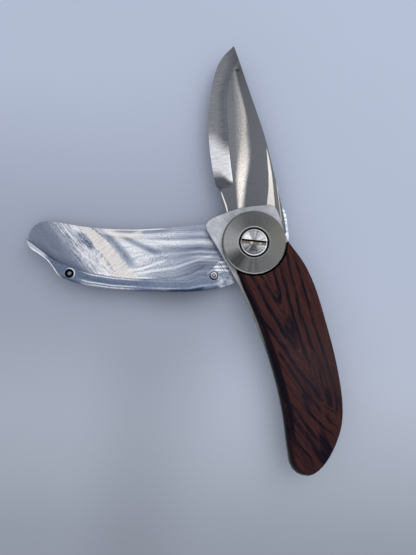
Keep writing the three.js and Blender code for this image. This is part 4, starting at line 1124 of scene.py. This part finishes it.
class KNIFE_OT_stage(bpy.types.Operator):
    """Lay the floor and set the lights and the camera"""

    bl_idname = "knife.stage"
    bl_label = "Stage"
    bl_options = {"REGISTER", "UNDO"}

    def execute(self, context):
        scene = context.scene
        stage = scene.knife_stage
        bpy.ops.mesh.primitive_plane_add(size=FLOOR_SIDE, location=(0, 0, FLOOR_HEIGHT))
        floor = context.object
        floor.name = "floor"
        bpy.ops.object.transform_apply(location=True)
        floor.data.materials.append(pale_floor(stage))

        place = Vector(stage.key_place)
        bpy.ops.object.light_add(
            type="AREA", location=place, rotation=place.to_track_quat("Z", "Y").to_euler())
        key = context.object
        key.name = "key"
        key.data.energy = stage.key_power
        key.data.size = stage.key_size

        bpy.ops.object.camera_add(location=stage.camera_place, rotation=stage.camera_turn)
        scene.camera = context.object
        scene.camera.data.sensor_width = SENSOR_WIDTH
        scene.camera.data.lens = LENS
        scene.camera.data.clip_start = 0.01

        world = bpy.data.worlds.new("room")
        world.use_nodes = True
        scene.world = world
        start = Field(world.node_tree)
        direction = start.node("ShaderNodeTexCoord", {}, {}, "Generated")
        height = start.node("ShaderNodeSeparateXYZ", {}, {0: direction}, "Z")
        light = height.span(0, 1, 0.6, 1) * ROOM_LIGHT
        background = world.node_tree.nodes["Background"]
        background.inputs["Color"].default_value = (*stage.sky, 1)
        world.node_tree.links.new(light.socket, background.inputs["Strength"])
        scene.view_settings.view_transform = "Standard"
        return {"FINISHED"}


class KNIFE_PT_panel(bpy.types.Panel):
    """The knife's sizes, colours and operators"""

    bl_idname = "KNIFE_PT_panel"
    bl_label = "Folding Knife"
    bl_space_type = "VIEW_3D"
    bl_region_type = "UI"
    bl_category = "Knife"

    def draw(self, context):
        for group in (context.scene.knife_sizes, context.scene.knife_colours, context.scene.knife_stage):
            box = self.layout.box()
            for name in group.__annotations__:
                box.prop(group, name)
        for operator in OPERATORS:
            self.layout.operator(operator.bl_idname)


GROUPS = {"knife_sizes": KnifeSizes, "knife_colours": KnifeColours, "knife_stage": KnifeStage}
OPERATORS = (
    KNIFE_OT_stage, KNIFE_OT_plates, KNIFE_OT_scales, KNIFE_OT_blade, KNIFE_OT_discs, KNIFE_OT_bolt,
    KNIFE_OT_stop_pins, KNIFE_OT_ball_catch, KNIFE_OT_washers_and_pins,
)


def register():
    for group in GROUPS.values():
        bpy.utils.register_class(group)
    for name, group in GROUPS.items():
        setattr(bpy.types.Scene, name, bpy.props.PointerProperty(type=group))
    for operator in OPERATORS:
        bpy.utils.register_class(operator)
    bpy.utils.register_class(KNIFE_PT_panel)


def unregister():
    bpy.utils.unregister_class(KNIFE_PT_panel)
    for operator in reversed(OPERATORS):
        bpy.utils.unregister_class(operator)
    for name, group in GROUPS.items():
        delattr(bpy.types.Scene, name)
        bpy.utils.unregister_class(group)


def main():
    register()
    bpy.ops.knife.stage()
    bpy.ops.knife.plates()
    bpy.ops.knife.scales()
    bpy.ops.knife.blade()
    bpy.ops.knife.discs()
    bpy.ops.knife.bolt()
    bpy.ops.knife.stop_pins()
    bpy.ops.knife.ball_catch()
    bpy.ops.knife.washers_and_pins()


if __name__ == "__main__":
    main()
